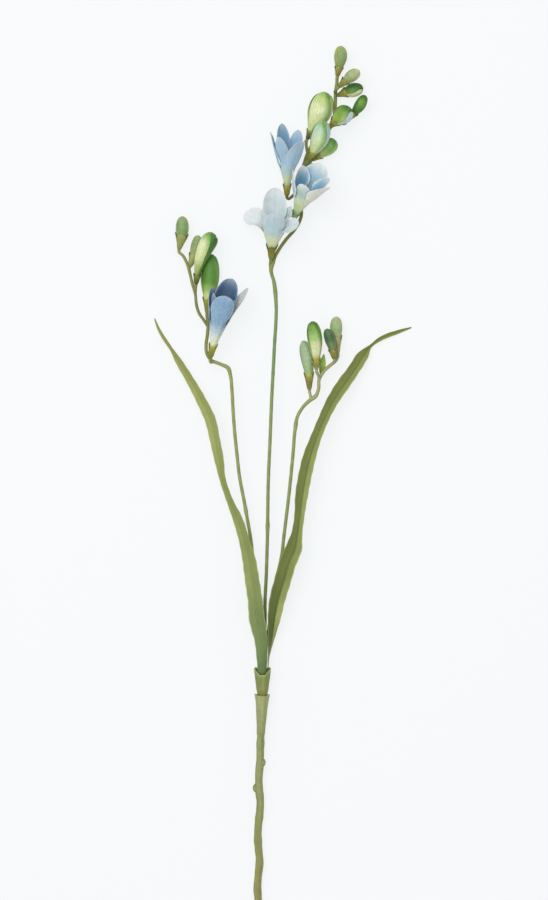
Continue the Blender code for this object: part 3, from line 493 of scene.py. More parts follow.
def buildLeaf(name, leaf, node):
    rows = leafForm["rows"]
    table = smoothRoute(leaf["rows"], rows + 1)
    turns = routeFrames(table[:, :3])

    def place(u, v):
        k = round(v * rows)
        row, (tangent, side, up) = table[k], turns[k]
        roll = math.radians(row[4])
        across = side * math.cos(roll) - up * math.sin(roll)
        out = up * math.cos(roll) + side * math.sin(roll)
        bend = math.radians(row[5])
        bend = bend if abs(bend) > leafForm["leastBend"] else leafForm["leastBend"]
        half = row[3] / 2
        broad = min(1.0, half / 5)
        ripple = leaf["wave"] * math.sin(v * leafForm["waves"]) * broad
        shift = across * half * math.sin(u * bend) / math.sin(bend)
        shift -= out * half * (1 - math.cos(u * bend)) / math.sin(bend)
        shift += out * ripple * u * u * (1 if u > 0 else -0.6)
        keel = math.exp(-(((u - leaf["fold"]) / leafForm["keelWide"]) ** 2))
        shift -= out * leafForm["keel"] * broad * keel
        shift += out * leafForm["crinkle"] * broad * abs(u) ** 3 * math.sin(v * 330 + 2 * u)
        shift += across * leafForm["bite"] * broad * u**5 * math.sin(v * 190 + 1.5 * u)
        return Vector(row[:3]) + shift

    def paint(u, v):
        # the two halves take their painted light and shade here, and the fold itself gets a band of painted
        # shade
        side = u - leaf["fold"]
        shade = blend(gradient(leaf["left"], v), gradient(leaf["right"], v), (side + 0.06) / 0.12)
        shade = shade * (1 - leaf["creaseShade"] * math.exp(-((side / 0.12) ** 2)))
        # the paler margin is partly the leaf's own edge colour and partly a painted highlight, laid on more
        # strongly along the margin that folds up
        edge = ease((abs(u) - 0.82) / 0.14) * (0.75 if (u < 0) == (leaf["fold"] == 0) else 0.4)
        return blend(shade, toLinear(leaf["margin"]), edge)

    def underside(u, v):
        return blend(paint(u, v), toLinear("a3ae78"), 0.45)

    piece = makeSheet(name, leafForm["columns"], rows, place, paint, underside)
    dress(piece, leafCloth, leafBack)
    thicken(piece, leaf["thickness"], 0.0)
    settle(piece, [node], 70)


buildLeaf("leafLeft", leftLeaf, "leaf_left")
buildLeaf("leafRight", rightLeaf, "leaf_right")
print("leaves made")


# The open flowers. turn and rise give the axis, roll the first lobe; the lists go round the lobes.
# the inside gradients of c2, c3 and l5 darken deep in the throat as painted shade, and the darkest tones and
# linings of l5 are painted shade in its hood and on the lobes tucked behind others
flowers = {
    "c1": {
        "base": (-8.4, 161.4, 13.0), "turn": 6, "rise": 16, "roll": 90, "tube": 15.0, "throat": 6.8,
        "lobe": (20, 19, 23, 32, 21, 19), "flare": (16, 9, 86, 8, 9, 66), "twist": (0, 0, -50, 0, 0, 55),
        "halfWidth": (7.6, 5.8, 7.6, 8.6, 6.6, 6.6), "yaw": (0, 0, 0, -7, -8, 0), "slot": "petal_pale",
        "outer": [
            (0, "a8ac4c"), (0.14, "c3c985"), (0.28, "d3dbb4"), (0.4, "cbd9c2"), (0.56, "bed2d6"),
            (1, "cddada"),
        ],
        "inner": [(0.2, "a5b35c"), (0.38, "a3b988"), (0.5, "bbd0cd"), (0.75, "c6d6d8"), (1, "d8e1e1")],
        "tones": ("b3cad4", "bcd2d2", "cdd6d6", "c3d2d7", "bfd1ce", "b7c7d0"),
        "linings": ("bcd2d2", "bcd2d2", "d3dcdc", "c6d6da", "bfd1ce", "c3d2d6"),
        "border": ("dfe6e7", 0.45, 0.72),
    },
    "c2": {
        "base": (2.8, 205.5, 12.0), "turn": 2, "rise": 16, "roll": 60, "tube": 16.0, "throat": 5.4,
        "lobe": (26, 27, 28, 32, 28, 23), "flare": (24, 18, 14, 9, 14, 18), "twist": (0, 0, 0, 0, 0, 0),
        "halfWidth": (6.2, 5.0, 5.0, 5.6, 5.6, 4.8), "yaw": (-3, 3, 0, 0, 0, 0), "slot": "petal_blue",
        "outer": [
            (0, "a9a84a"), (0.12, "b3bb6c"), (0.26, "cbd6ac"), (0.4, "b9d0cf"), (0.58, "9fc0d4"),
            (1, "b3c9d2"),
        ],
        "inner": [(0.2, "5c6f60"), (0.42, "3f5c74"), (0.56, "6f97b4"), (0.8, "8db3cc"), (1, "b9ccd6")],
        "tones": ("a3c3d6", "9fbfd3", "86adc8", "8db3ce", "a3c1d2", "8fb5d0"),
        "linings": ("8fb5cc", "8fb5cc", "7fa7c3", "6f9cbc", "8db3cc", "7fa9c6"),
        "border": ("c9d6da", 0.45, 0.72),
    },
    "c3": {
        "base": (7.4, 187.6, 10.6), "turn": 24, "rise": 32, "roll": 40, "tube": 17.0, "throat": 6.6,
        "lobe": (24, 17, 22, 21, 25, 22), "flare": (24, 12, 20, 16, 26, 20), "twist": (0, 0, 0, 0, 0, 0),
        "halfWidth": (7.4, 5.6, 5.6, 7.0, 9.4, 7.6), "yaw": (-8, 0, 0, 0, 0, 0), "slot": "petal_blue",
        "outer": [
            (0, "8fae70"), (0.12, "a3c084"), (0.26, "c6d8a0"), (0.42, "d6e0c0"), (0.65, "dfe5dc"),
            (1, "e3e7e4"),
        ],
        "inner": [
            (0.2, "4a6c7c"), (0.4, "5b8fae"), (0.6, "6fa3c2"), (0.78, "7cacc6"), (0.9, "b5cfda"),
            (1, "dde5e6"),
        ],
        "tones": ("dde2cc", "a9c6bc", "8ab2d2", "8ab2ce", "dfe5e4", "bcd3dc"),
        "linings": ("b9d2d8", "8fb8cc", "74a3c3", "76a7c5", "9cc0d0", "7fafc9"),
        "border": ("e3e9e9", 0.85, 0.62),
    },
    "l5": {
        "base": (-50.4, 92.0, 15.0), "turn": 13, "rise": 14, "roll": 90, "tube": 20.0, "throat": 5.6,
        "lobe": (27, 25, 27, 35, 33, 23), "flare": (12, 7, 9, 5, 23, 8), "twist": (0, 0, 0, 0, 0, 0),
        "halfWidth": (8.2, 5.8, 6.6, 8.4, 4.8, 5.2), "yaw": (-6, 0, 0, 5, 0, 0), "slot": "petal_deep",
        "outer": [
            (0, "cfcf8c"), (0.12, "e0e3b6"), (0.24, "dde5cf"), (0.36, "bcd0d8"), (0.5, "8fafc8"),
            (0.8, "7c9dbd"), (1, "94b0c6"),
        ],
        "inner": [(0.2, "5f7480"), (0.4, "24405f"), (0.7, "2b4a6a"), (0.88, "5f80a0"), (1, "93afc4")],
        "tones": ("86a8c4", "45637f", "7193b0", "8ba9c0", "dfe2de", "35536f"),
        "linings": ("4f7190", "2c4a68", "3d5f80", "3c5d80", "dde1dd", "2c4a68"),
        "border": ("b5c8d4", 0.45, 0.78),
    },
}
# sizes that all petals share: where the tube ends along the sheet, how far the two whorls stand apart
# in the tube and beyond it, the pressed middle, and the ripple and frill of the edge
petalForm = {
    "foot": 1.5, "thickness": 0.4, "columns": 14, "rows": 40, "tubeShare": 0.4, "halfSpan": 34,
    "tubeApart": 0.16, "lobeApart": 0.6, "pleat": 0.3, "pleatWide": 0.2, "ripple": 0.45, "frill": 0.12,
    "leastBend": 0.17, "tubePower": 1.35,
}


def tubeRadius(flower, s):
    foot = petalForm["foot"]
    return foot + (flower["throat"] - foot) * max(0.0, s / flower["tube"]) ** petalForm["tubePower"]


def lobePath(flower, index, origin, direction, out, across):
    # the centre line of a lobe in a hundred short steps, each with its outward normal and width
    slope = math.atan(petalForm["tubePower"] * (flower["throat"] - petalForm["foot"]) / flower["tube"])
    flare = math.radians(flower["flare"][index])
    centre = origin.copy()
    path = [(centre.copy(), out * math.cos(slope) - direction * math.sin(slope), across.copy())]
    for step in range(1, 101):
        q = step / 100
        angle = slope + (flare - slope) * ease(q * 1.2)
        yaw = math.radians(flower["yaw"][index]) * ease(q * 1.5)
        twist = math.radians(flower["twist"][index]) * ease(q * 1.5)
        forward = direction * math.cos(angle) + out * math.sin(angle)
        centre += (forward * math.cos(yaw) + across * math.sin(yaw)) * flower["lobe"][index] / 100
        flatNormal = out * math.cos(angle) - direction * math.sin(angle)
        flatWidth = across * math.cos(yaw) - forward * math.sin(yaw)
        normal = flatNormal * math.cos(twist) - flatWidth * math.sin(twist)
        path.append((centre.copy(), normal, flatWidth * math.cos(twist) + flatNormal * math.sin(twist)))
    return path


def buildTepal(key, index):
    flower = flowers[key]
    base = Vector(flower["base"])
    direction = heading(flower["turn"], flower["rise"])
    side, up = axesOf(direction)
    turn = math.radians(flower["roll"] + 60 * index)
    out = side * math.cos(turn) + up * math.sin(turn)
    across = up * math.cos(turn) - side * math.sin(turn)
    thickness = petalForm["thickness"]
    rim = flower["throat"] - thickness
    hub = base + direction * flower["tube"]
    path = lobePath(flower, index, base + direction * flower["tube"] + out * rim, direction, out, across)
    span = math.radians(petalForm["halfSpan"])
    whorl = 1 if index % 2 == 0 else -1
    widest = flower["halfWidth"][index]
    tubeShare = petalForm["tubeShare"]
    tubeApart, deep = petalForm["tubeApart"] * whorl, petalForm["pleat"]

    def place(u, v):
        u = -u  # so that the face points out
        if v <= tubeShare:
            s = flower["tube"] * v / tubeShare
            reach = (tubeRadius(flower, s) - thickness) + tubeApart * ease(v * 6)
            pleat = -deep * math.exp(-((u / petalForm["pleatWide"]) ** 2)) * ease(v / tubeShare)
            shift = out * math.cos(u * span) + across * math.sin(u * span)
            return base + direction * s + shift * (reach + pleat)
        w = (v - tubeShare) / (1 - tubeShare)
        q = 1 - (1 - w) ** 1.5
        at = q * 100
        k = min(int(at), 99)
        centre = path[k][0].lerp(path[k + 1][0], at - k)
        normal = path[k][1].lerp(path[k + 1][1], at - k)
        width = path[k][2].lerp(path[k + 1][2], at - k)
        start = rim * math.sin(span)
        if q < 0.5:
            half = start + (widest - start) * ease(q * 2)
        else:
            half = widest * math.sqrt(max(0.0, 1 - ((q - 0.5) * 2) ** 2.6))
        # a lobe's section follows a circle round the flower's axis, so neighbours lie on each other
        fromAxis = (centre - hub) - direction * (centre - hub).dot(direction)
        bend = max(math.asin(min(0.96, half / fromAxis.length)), petalForm["leastBend"])
        shift = width * half * math.sin(u * bend) / math.sin(bend)
        shift -= normal * half * (1 - math.cos(u * bend)) / math.sin(bend)
        # the two whorls stand apart, the middle is pressed in, and the edge ripples
        apart = tubeApart + petalForm["lobeApart"] * whorl * ease(q * 4)
        pleat = -deep * math.exp(-((u / petalForm["pleatWide"]) ** 2)) * (1 - 0.6 * q)
        ripple = petalForm["ripple"] * u * u * math.sin(7.5 * q + 1.9 * index + 1.3 * u) * ease(q * 3)
        ripple += petalForm["frill"] * abs(u) ** 3 * math.sin(31 * q + 2 * index)
        return centre + shift + normal * (apart + pleat + ripple)

    def tinted(stops, tones, u, v):
        # the lower part follows the flower's own gradient, the free part is nearer to the lobe's tone
        shade = blend(gradient(stops, v), toLinear(tones[index]), 0.8 * ease((v - 0.36) / 0.2))
        # a paler border runs round the free part of each petal
        pale, strength, begins = flower["border"]
        edge = ease((max(abs(u), v) - begins) / (0.97 - begins)) * ease((v - 0.4) / 0.2)
        shade = blend(shade, toLinear(pale), strength * edge)
        return shade * (1 - 0.07 * math.exp(-((u / 0.1) ** 2)))

    def paint(u, v):
        return tinted(flower["outer"], flower["tones"], u, v)

    # the inside carries the painted shade of the throat and the hood
    def inside(u, v):
        return tinted(flower["inner"], flower["linings"], u, v)

    columns, rows = petalForm["columns"], petalForm["rows"]
    return makeSheet(f"tepal_{key}_{index}", columns, rows, place, paint, inside)


def buildFlower(key):
    tepals = [buildTepal(key, index) for index in range(6)]
    whole = joinAll(tepals, "bloom" + key.upper())
    mergeDoubles(whole)
    dress(whole, petalOuter, petalInner)
    thicken(whole, petalForm["thickness"])
    settle(whole, ["flower_" + key], 80)


for key in flowers:
    buildFlower(key)
print("flowers made")


# Stamens: three anthers on thin filaments round a style that ends in three short arms.
stamenSet = {
    "floor": 6.35, "filament": 0.32, "anther": 0.82, "antherLong": 6.4, "apart": 1.0, "style": 0.3,
    "styleArm": 0.2, "past": -1.0,
    "pollen": "cf9f14", "pollenLight": "e3b92b", "thread": "dfe0b4",
}


def buildStamens(key):
    flower = flowers[key]
    direction = heading(flower["turn"], flower["rise"])
    side, up = axesOf(direction)
    floor = Vector(flower["base"]) + direction * stamenSet["floor"]
    reach = flower["tube"] + stamenSet["past"]
    pieces = []
    threads = []
    for index in range(3):
        angle = math.radians(120 * index + 90)
        out = side * math.cos(angle) + up * math.sin(angle)
        top = floor + direction * reach + out * stamenSet["apart"]
        foot = top - direction * stamenSet["antherLong"]
        points = smoothRoute([foot, foot.lerp(top, 0.5) + out * 0.25, top], 15)
        radii = [stamenSet["anther"] * math.sin(math.pi * (0.12 + 0.76 * k / 14)) ** 0.6 for k in range(15)]

        def pollen(u, point):
            dark, light = toLinear(stamenSet["pollen"]), toLinear(stamenSet["pollenLight"])
            return blend(dark, light, 0.5 + 0.5 * math.sin(9 * u))

        anther = makeTube("anther", points, radii, 18, pollen, 0.14, 2)
        dress(anther, antherFlock)
        pieces.append(anther)
        knee = floor + direction * reach * 0.4 + out * 0.8
        route = smoothRoute([floor + out * 0.35, knee, foot + direction * 0.8], 14)
        threads.append((route, stamenSet["filament"]))
    top = floor + direction * (reach + 1.2)
    threads.append((smoothRoute([floor, floor.lerp(top, 0.5), top], 16), stamenSet["style"]))
    for index in range(3):
        angle = math.radians(120 * index + 30)
        out = side * math.cos(angle) + up * math.sin(angle)
        elbow, end = top + out * 0.7 + direction * 0.4, top + out * 1.5 + direction * 0.6
        threads.append((smoothRoute([top - direction * 0.5, elbow, end], 8), stamenSet["styleArm"]))
    for route, radius in threads:
        colour = toLinear(stamenSet["thread"])
        thread = makeTube("thread", route, [radius] * len(route), 10, lambda u, point: colour)
        dress(thread, antherFlock)
        pieces.append(thread)
    settle(joinAll(pieces, "stamens" + key.upper()), ["stamens_" + key])


for key in flowers:
    buildStamens(key)
print("stamens made")


# The buds: base, tip, greatest width, where it is widest, sideways bow, and the first tepal's turn.
# Colours run from foot to tip, for a tepal's middle and its edge, and for the far two where they differ.
buds = {
    "bud_a": {
        "base": (38.5, 289.5, 9.0), "tip": (40.6, 309.0, 8.5), "wide": 9.4, "belly": 0.62, "bow": 0.6,
        "roll": 60, "slot": "bud_grey",
        "middle": [(0, "7c8444"), (0.3, "8a9856"), (0.6, "80a067"), (0.9, "9dad6a"), (1, "b5b35e")],
        "edge": [(0, "7c8444"), (0.7, "a3a75e"), (1, "bdb762")],
    },
    "bud_b": {
        "base": (40.6, 281.0, 14.5), "tip": (53.8, 290.6, 16.0), "wide": 8.6, "belly": 0.62, "bow": -0.6,
        "roll": 110, "slot": "bud_grey",
        "middle": [(0, "848a50"), (0.4, "98a772"), (0.75, "a9b684"), (1, "c6c7a2")],
        "edge": [(0, "7d8448"), (1, "b9b878")],
    },
    "bud_c": {
        "base": (40.2, 275.0, 7.0), "tip": (56.4, 279.4, 6.4), "wide": 10.4, "belly": 0.58, "bow": -0.6,
        "roll": 130, "slot": "bud_dark",
        "middle": [(0, "8c9446"), (0.25, "557f26"), (0.6, "3d6c18"), (1, "2b5210")],
        "edge": [(0, "8c9446"), (0.4, "6f9a40"), (1, "3c6a26")],
        "far": [(0, "8f9034"), (0.3, "c9d096"), (0.8, "d9deb0"), (1, "b9c27c")],
    },
    "bud_d": {
        "base": (18.0, 245.5, 8.2), "tip": (30.2, 276.6, 8.4), "wide": 18.0, "belly": 0.6, "bow": 1.0,
        "roll": 100, "slot": "bud_pale",
        "middle": [(0, "bfcb80"), (0.3, "d3dc9f"), (0.6, "dbe2b0"), (0.82, "bdd284"), (1, "86b352")],
        "edge": [(0, "a9bb62"), (0.5, "8fb452"), (1, "5c9030")],
    },
    "bud_e1": {
        "base": (33.8, 252.6, 15.4), "tip": (47.8, 264.0, 18.8), "wide": 13.6, "belly": 0.62, "bow": -0.4,
        "roll": 120, "slot": "bud_green",
        "middle": [(0, "7f9a3c"), (0.3, "98b44c"), (0.6, "6f9a38"), (1, "447420")],
        "edge": [(0, "7f9a3c"), (0.5, "b4c56c"), (1, "5a8c34")],
        "far": [(0, "b2bf74"), (0.3, "bccfb8"), (0.7, "bdd2da"), (1, "cfdcd8")],
    },
    "bud_e2": {
        "base": (47.2, 258.8, 8.4), "tip": (57.8, 274.2, 10.6), "wide": 8.2, "belly": 0.6, "bow": 0.8,
        "roll": 70, "slot": "bud_dark",
        "middle": [(0, "3a6414"), (0.4, "477a1e"), (0.7, "6b9a34"), (1, "315c14")],
        "edge": [(0, "2f5a1a"), (0.6, "356420"), (1, "4c7a2c")],
    },
    "bud_f": {
        "base": (18.6, 230.0, 18.0), "tip": (28.4, 255.4, 24.0), "wide": 13.8, "belly": 0.6, "bow": 1.8,
        "roll": 110, "slot": "bud_pale",
        "middle": [(0, "bcc973"), (0.25, "cfdb9c"), (0.5, "cfdfb4"), (0.75, "b4d0b4"), (1, "8cbd72")],
        "edge": [(0, "9fb65c"), (0.5, "7fae4c"), (1, "569032")],
        "far": [(0, "bcc973"), (0.4, "b9d3bb"), (0.75, "a9c8c6"), (1, "9cc2a0")],
    },
    "bud_g": {
        "base": (22.2, 230.2, 7.0), "tip": (36.6, 243.4, 6.4), "wide": 11.6, "belly": 0.68, "bow": 0.8,
        "roll": 110, "slot": "bud_green",
        "middle": [(0, "bcc97a"), (0.3, "c3d490"), (0.6, "96c06a"), (1, "6ca648")],
        "edge": [(0, "a4b85e"), (0.6, "78ae4c"), (1, "4c8230")],
    },
    "bud_l1": {
        "base": (-72.4, 168.0, 9.0), "tip": (-70.6, 189.6, 8.0), "wide": 9.6, "belly": 0.6, "bow": 0.8,
        "roll": 80, "slot": "bud_grey",
        "middle": [(0, "8d9450"), (0.3, "8a9c5c"), (0.6, "7b9c60"), (1, "92a76c")],
        "edge": [(0, "8d9450"), (0.6, "8ea266"), (1, "a3ad72")],
    },
    "bud_l2": {
        "base": (-64.6, 156.0, 8.2), "tip": (-59.4, 176.4, 6.4), "wide": 8.0, "belly": 0.6, "bow": 0.6,
        "roll": 70, "slot": "bud_grey",
        "middle": [(0, "98a05e"), (0.35, "97a76c"), (0.65, "88a56c"), (1, "9aae74")],
        "edge": [(0, "98a05e"), (0.6, "a0aa6c"), (1, "aab378")],
    },
    "bud_l3": {
        "base": (-60.6, 143.8, 12.0), "tip": (-48.2, 177.2, 17.6), "wide": 12.6, "belly": 0.8, "bow": -2.6,
        "roll": 125, "slot": "bud_pale",
        "middle": [
            (0, "5c7430"), (0.25, "a5b866"), (0.45, "d5dda0"), (0.75, "dfe4b4"), (0.9, "86b050"),
            (1, "4f8a34"),
        ],
        "edge": [(0, "4f6a28"), (0.5, "c3d28c"), (1, "5c963a")],
        "far": [(0, "5f7030"), (0.4, "5c8a38"), (0.8, "3f7426"), (1, "2f641c")],
    },
    "bud_l4": {
        "base": (-53.0, 123.6, 8.6), "tip": (-50.4, 163.4, 7.2), "wide": 13.8, "belly": 0.6, "bow": 0.4,
        "roll": 90, "slot": "bud_green",
        "middle": [
            (0, "a9a84a"), (0.1, "dfe0a0"), (0.26, "cdd88a"), (0.38, "86ad50"), (0.5, "568a2c"),
            (0.75, "4f8426"), (1, "3b6e1c"),
        ],
        "edge": [(0, "a9a84a"), (0.14, "cdd488"), (0.34, "6f9a3c"), (0.7, "7ba043"), (1, "457a20")],
    },
    "bud_r1": {
        "base": (18.5, 70.0, 9.0), "tip": (14.2, 102.6, 8.0), "wide": 9.4, "belly": 0.66, "bow": 1.2,
        "roll": 100, "slot": "bud_grey",
        "middle": [(0, "8c8a34"), (0.15, "b6b85c"), (0.35, "9fb680"), (0.6, "a3b996"), (1, "9cb48c")],
        "edge": [(0, "8c8a34"), (0.3, "84a350"), (0.7, "8cab6e"), (1, "8fab74")],
    },
    "bud_r2": {
        "base": (23.4, 84.0, 15.0), "tip": (20.4, 115.8, 18.0), "wide": 11.0, "belly": 0.64, "bow": 0.8,
        "roll": 90, "slot": "bud_green",
        "middle": [
            (0, "8a8a34"), (0.16, "b9b868"), (0.3, "dfe0ac"), (0.48, "dadfa6"), (0.64, "9cc06a"),
            (0.85, "73a042"), (1, "4f7f22"),
        ],
        "edge": [(0, "8a8a34"), (0.3, "a3a848"), (0.6, "3f7214"), (1, "3b6a14")],
    },
    "bud_r3": {
        "base": (35.4, 91.6, 13.0), "tip": (30.2, 110.6, 14.0), "wide": 7.8, "belly": 0.6, "bow": 0.6,
        "roll": 70, "slot": "bud_dark",
        "middle": [(0, "8a9660"), (0.35, "6f8a56"), (0.65, "41663a"), (1, "5f8050")],
        "edge": [(0, "8a9660"), (0.4, "6a6e3c"), (1, "4f6a3a")],
    },
    "bud_r4": {
        "base": (38.2, 95.4, 8.0), "tip": (37.6, 119.4, 7.4), "wide": 9.0, "belly": 0.66, "bow": -0.6,
        "roll": 90, "slot": "bud_grey",
        "middle": [(0, "a0a06a"), (0.45, "a8ad76"), (0.6, "93ad7a"), (0.85, "a0b67e"), (1, "b3bb84")],
        "edge": [(0, "989a60"), (0.6, "9fb07c"), (1, "b0b982")],
    },
}
# sizes that all buds share; the heart is the closed inside, seen between the tips
budForm = {
    "foot": 1.35, "fullness": 0.55, "rows": 26, "columns": 12, "halfSpan": 82, "spiral": 0.5, "flat": 0.92,
    "ridge": 0.12, "wall": 0.35, "heart": 0.84, "heartEnd": 0.985, "heartRings": 24,
}


def budCentre(key, t):
    bud = buds[key]
    base, tip = Vector(bud["base"]), Vector(bud["tip"])
    side = axesOf((tip - base).normalized())[0]
    return base.lerp(tip, t) + side * bud["bow"] * math.sin(math.pi * t)


def budLength(key):
    return (Vector(buds[key]["tip"]) - Vector(buds[key]["base"])).length


def budRadius(key, t):
    half, belly, foot = buds[key]["wide"] / 2, buds[key]["belly"], budForm["foot"]
    if t < belly:
        full = budForm["fullness"]
        swell = full * math.sin(math.pi / 2 * t / belly) + (1 - full) * ease(t / belly)
        return foot + (half - foot) * swell
    return half * math.sqrt(max(0.0, 1 - ((t - belly) / (1 - belly)) ** 2.2))


def buildBud(key):
    bud = buds[key]
    rows = budForm["rows"]
    shares = [1 - (1 - k / rows) ** 1.35 for k in range(rows + 1)]
    centres = [budCentre(key, t) for t in shares]
    turns = routeFrames(centres)
    pieces = []
    for index in range(3):
        middle = math.radians(bud["roll"] + 120 * index)
        end = (1.0, 0.985, 0.97)[index]

        def place(u, v):
            k = round(v * rows)
            t = shares[k] * end
            at = min(k, rows)
            tangent, side, up = turns[at]
            narrow = math.sqrt(max(0.0, 1 - (max(0.0, t - 0.5) / (end - 0.5)) ** 3.2))
            angle = middle + budForm["spiral"] * t
            angle -= u * math.radians(budForm["halfSpan"]) * (0.22 + 0.78 * narrow)
            lift = 0.94 + 0.06 * u * ease((t - 0.2) * 3)
            reach = budRadius(key, t) * lift + budForm["ridge"] * (1 - abs(u)) * ease(t * 4)
            if v == 1:
                reach = 0.05
            high = reach * budForm["flat"]
            return budCentre(key, t) + side * reach * math.cos(angle) + up * high * math.sin(angle)

        def paint(u, v):
            t = shares[round(v * rows)]
            stops = bud["far"] if "far" in bud and index > 0 else bud["middle"]
            shade = blend(gradient(stops, t), gradient(bud["edge"], t), 0.85 * ease((abs(u) - 0.45) / 0.45))
            streak = 1 + 0.05 * math.sin(23 * u + 3 * t) * (1 - t)
            # the last sliver of each tepal's edge is painted 12% darker, painted shade along the seams where
            # the tepals overlap
            return shade * streak * (1 - 0.12 * ease((abs(u) - 0.93) / 0.07))

        def inside(u, v):
            return blend(paint(u, v), toLinear("c9d39a"), 0.5)

        pieces.append(makeSheet(f"{key}_tepal{index}", budForm["columns"], rows, place, paint, inside))
    whole = joinAll(pieces, key.replace("_", "") + "Tepals")
    mergeDoubles(whole)
    dress(whole, budSkin, budSkin)
    thicken(whole, budForm["wall"])
    rings = np.linspace(0, budForm["heartEnd"], budForm["heartRings"])
    points = [budCentre(key, t) for t in rings]
    radii = [max(0.1, budRadius(key, t) * budForm["heart"]) for t in rings]
    # the heart is painted in the tip colour made 15% darker, painted shade in the gaps between the tepal tips
    heart = makeTube("heart", points, radii, 20, lambda u, point: toLinear(bud["middle"][-1][1]) * 0.85)
    dress(heart, budSkin)
    settle(joinAll([whole, heart], key.replace("_", "")), [key], 75)


for key in buds:
    buildBud(key)
print("buds made")


# The stalks, their side stalks, and the calyx round the foot of each flower and bud.
stalks = {
    "stalk_left": {
        "route": [
            (-16.3, -137.7, 7.3), (-16.9, -120, 7.4), (-19.0, -90, 7.8), (-20.6, -60, 8.2),
            (-22.5, -37.5, 8.6), (-24.9, -23.5, 9.0), (-27.4, -9.5, 9.4), (-30.1, 4.5, 9.8),
            (-32.6, 25.5, 10.2), (-34.0, 39.5, 10.4), (-35.0, 53.5, 10.6), (-35.8, 67.5, 10.8),
            (-36.9, 78.0, 10.9), (-38.4, 82.8, 10.9), (-44.1, 85.8, 11.0), (-50.4, 88.6, 11.2),
            (-53.6, 94.2, 11.0), (-53.9, 99.0, 10.8), (-53.0, 106.0, 10.4), (-52.6, 115.0, 9.6),
        ],
        "endsIn": "bud_l4", "bumps": [(-16.5, 0.25, 2.5), (82, 0.3, 3)],
        "branches": [
            ("l5", [(-48.4, 87.6, 11.1), (-50.6, 87.0, 12.8)]),
            (
                "bud_l1",
                [
                    (-52.8, 112.5, 9.8), (-56.0, 117.3, 9.6), (-58.6, 121.0, 9.4), (-60.6, 127.0, 9.3),
                    (-61.6, 135.5, 9.2), (-63.4, 141.5, 9.2), (-65.2, 149.0, 9.2), (-67.4, 156.5, 9.2),
                    (-70.0, 161.6, 9.2),
                ],
            ),
            ("bud_l3", [(-61.6, 135.5, 9.2)]), ("bud_l2", [(-65.2, 149.0, 9.2)]),
        ],
        "bracts": [],
        "colours": [(-138, "7f8a4a"), (0, "8b9657"), (80, "93985a"), (110, "7c7f40"), (170, "8b9352")],
    },
    "stalk_right": {
        "route": [
            (-13.1, -137.7, 6.4), (-12.0, -115, 7.0), (-8.6, -90, 7.8), (-4.6, -65, 8.4), (-0.9, -48, 8.8),
            (0.6, -35, 9.1), (2.0, -23.5, 9.3), (3.7, -9.5, 9.6), (5.2, 4.5, 9.8), (7.2, 25.5, 10.2),
            (8.4, 39.5, 10.5), (10.5, 50.0, 10.6), (13.6, 55.2, 10.6), (18.9, 60.5, 10.4),
            (22.8, 63.4, 10.2), (24.9, 68.5, 10.2), (25.2, 74.5, 10.3), (28.7, 80.9, 10.3),
            (32.4, 84.4, 10.1), (36.8, 88.2, 9.4),
        ],
        "endsIn": "bud_r4", "bumps": [(43, 0.3, 2.5), (62, 0.3, 3)],
        "branches": [
            ("bud_r1", [(19.8, 61.0, 10.4), (19.2, 63.6, 10.0)]),
            ("bud_r2", [(25.1, 73.0, 10.3), (25.0, 77.0, 12.0)]),
            ("bud_r3", [(33.6, 85.4, 10.0), (35.4, 87.0, 11.4)]),
        ],
        "bracts": [((27.0, 79.0, 10.4), (28.6, 93.0, 11.6), 4.4, "8fae48")],
        "colours": [(-138, "6c7a3c"), (0, "8a9555"), (50, "8f9858"), (75, "a3a473"), (95, "9a9c66")],
    },
    "stalk_centre": {
        "route": [
            (-14.0, -137.7, 9.2), (-13.4, -115, 9.3), (-12.6, -93.5, 9.4), (-12.6, -79.5, 9.6),
            (-11.9, -65.5, 9.8), (-11.0, -37.5, 10.2), (-10.3, 4.5, 10.8), (-9.1, 32.5, 11.0),
            (-8.0, 60.5, 11.2), (-6.2, 95.5, 11.2), (-5.0, 130.5, 11.0), (-6.3, 143.0, 10.8),
            (-8.4, 152.0, 10.4), (-6.6, 159.0, 9.4), (-2.6, 166.5, 8.4), (2.4, 173.5, 8.0),
            (8.0, 180.0, 7.8), (12.6, 189.0, 7.2), (12.0, 200.0, 6.8), (10.4, 210.0, 7.0),
            (13.2, 221.0, 7.8), (15.6, 229.0, 8.6), (19.2, 237.6, 8.2), (27.4, 245.0, 6.4),
            (34.2, 253.4, 6.2), (36.4, 264.0, 7.2), (36.8, 276.0, 8.2), (37.8, 284.0, 8.8),
        ],
        "endsIn": "bud_a", "bumps": [(-28, 0.35, 2.5), (137, 0.3, 6), (156, 0.5, 4)],
        "branches": [
            ("c1", [(-8.3, 151.0, 10.5), (-9.0, 155.0, 10.2)]),
            ("c3", [(6.6, 178.4, 7.8), (6.4, 182.0, 8.0)]),
            ("c2", [(10.8, 208.0, 6.9), (7.0, 204.0, 7.6), (4.0, 201.6, 9.0)]),
            ("bud_f", [(15.4, 228.0, 8.5), (15.0, 225.6, 12.6)]),
            ("bud_g", [(14.2, 224.0, 8.1), (17.4, 225.4, 7.4)]),
            ("bud_d", [(17.2, 234.0, 8.5), (16.4, 238.0, 8.4)]),
            ("bud_e1", [(33.4, 252.0, 6.2), (31.6, 249.0, 10.0)]),
            ("bud_e2", [(35.8, 258.6, 6.6), (40.5, 254.8, 6.6), (43.4, 254.6, 7.0)]),
            ("bud_c", [(36.6, 270.8, 7.8)]), ("bud_b", [(36.8, 275.6, 8.2), (36.4, 276.8, 11.6)]),
        ],
        "bracts": [((14.6, 225.5, 8.2), (26.0, 223.4, 6.4), 4.6, "a09f34")],
        "colours": [
            (-138, "5f6d2c"), (-90, "66752f"), (-40, "7f8b4a"), (30, "8a9555"), (100, "739055"),
            (140, "7f9355"), (160, "85883a"), (200, "6b6c28"), (240, "8b9442"), (270, "6f7f34"),
            (290, "8a9352"),
        ],
    },
}
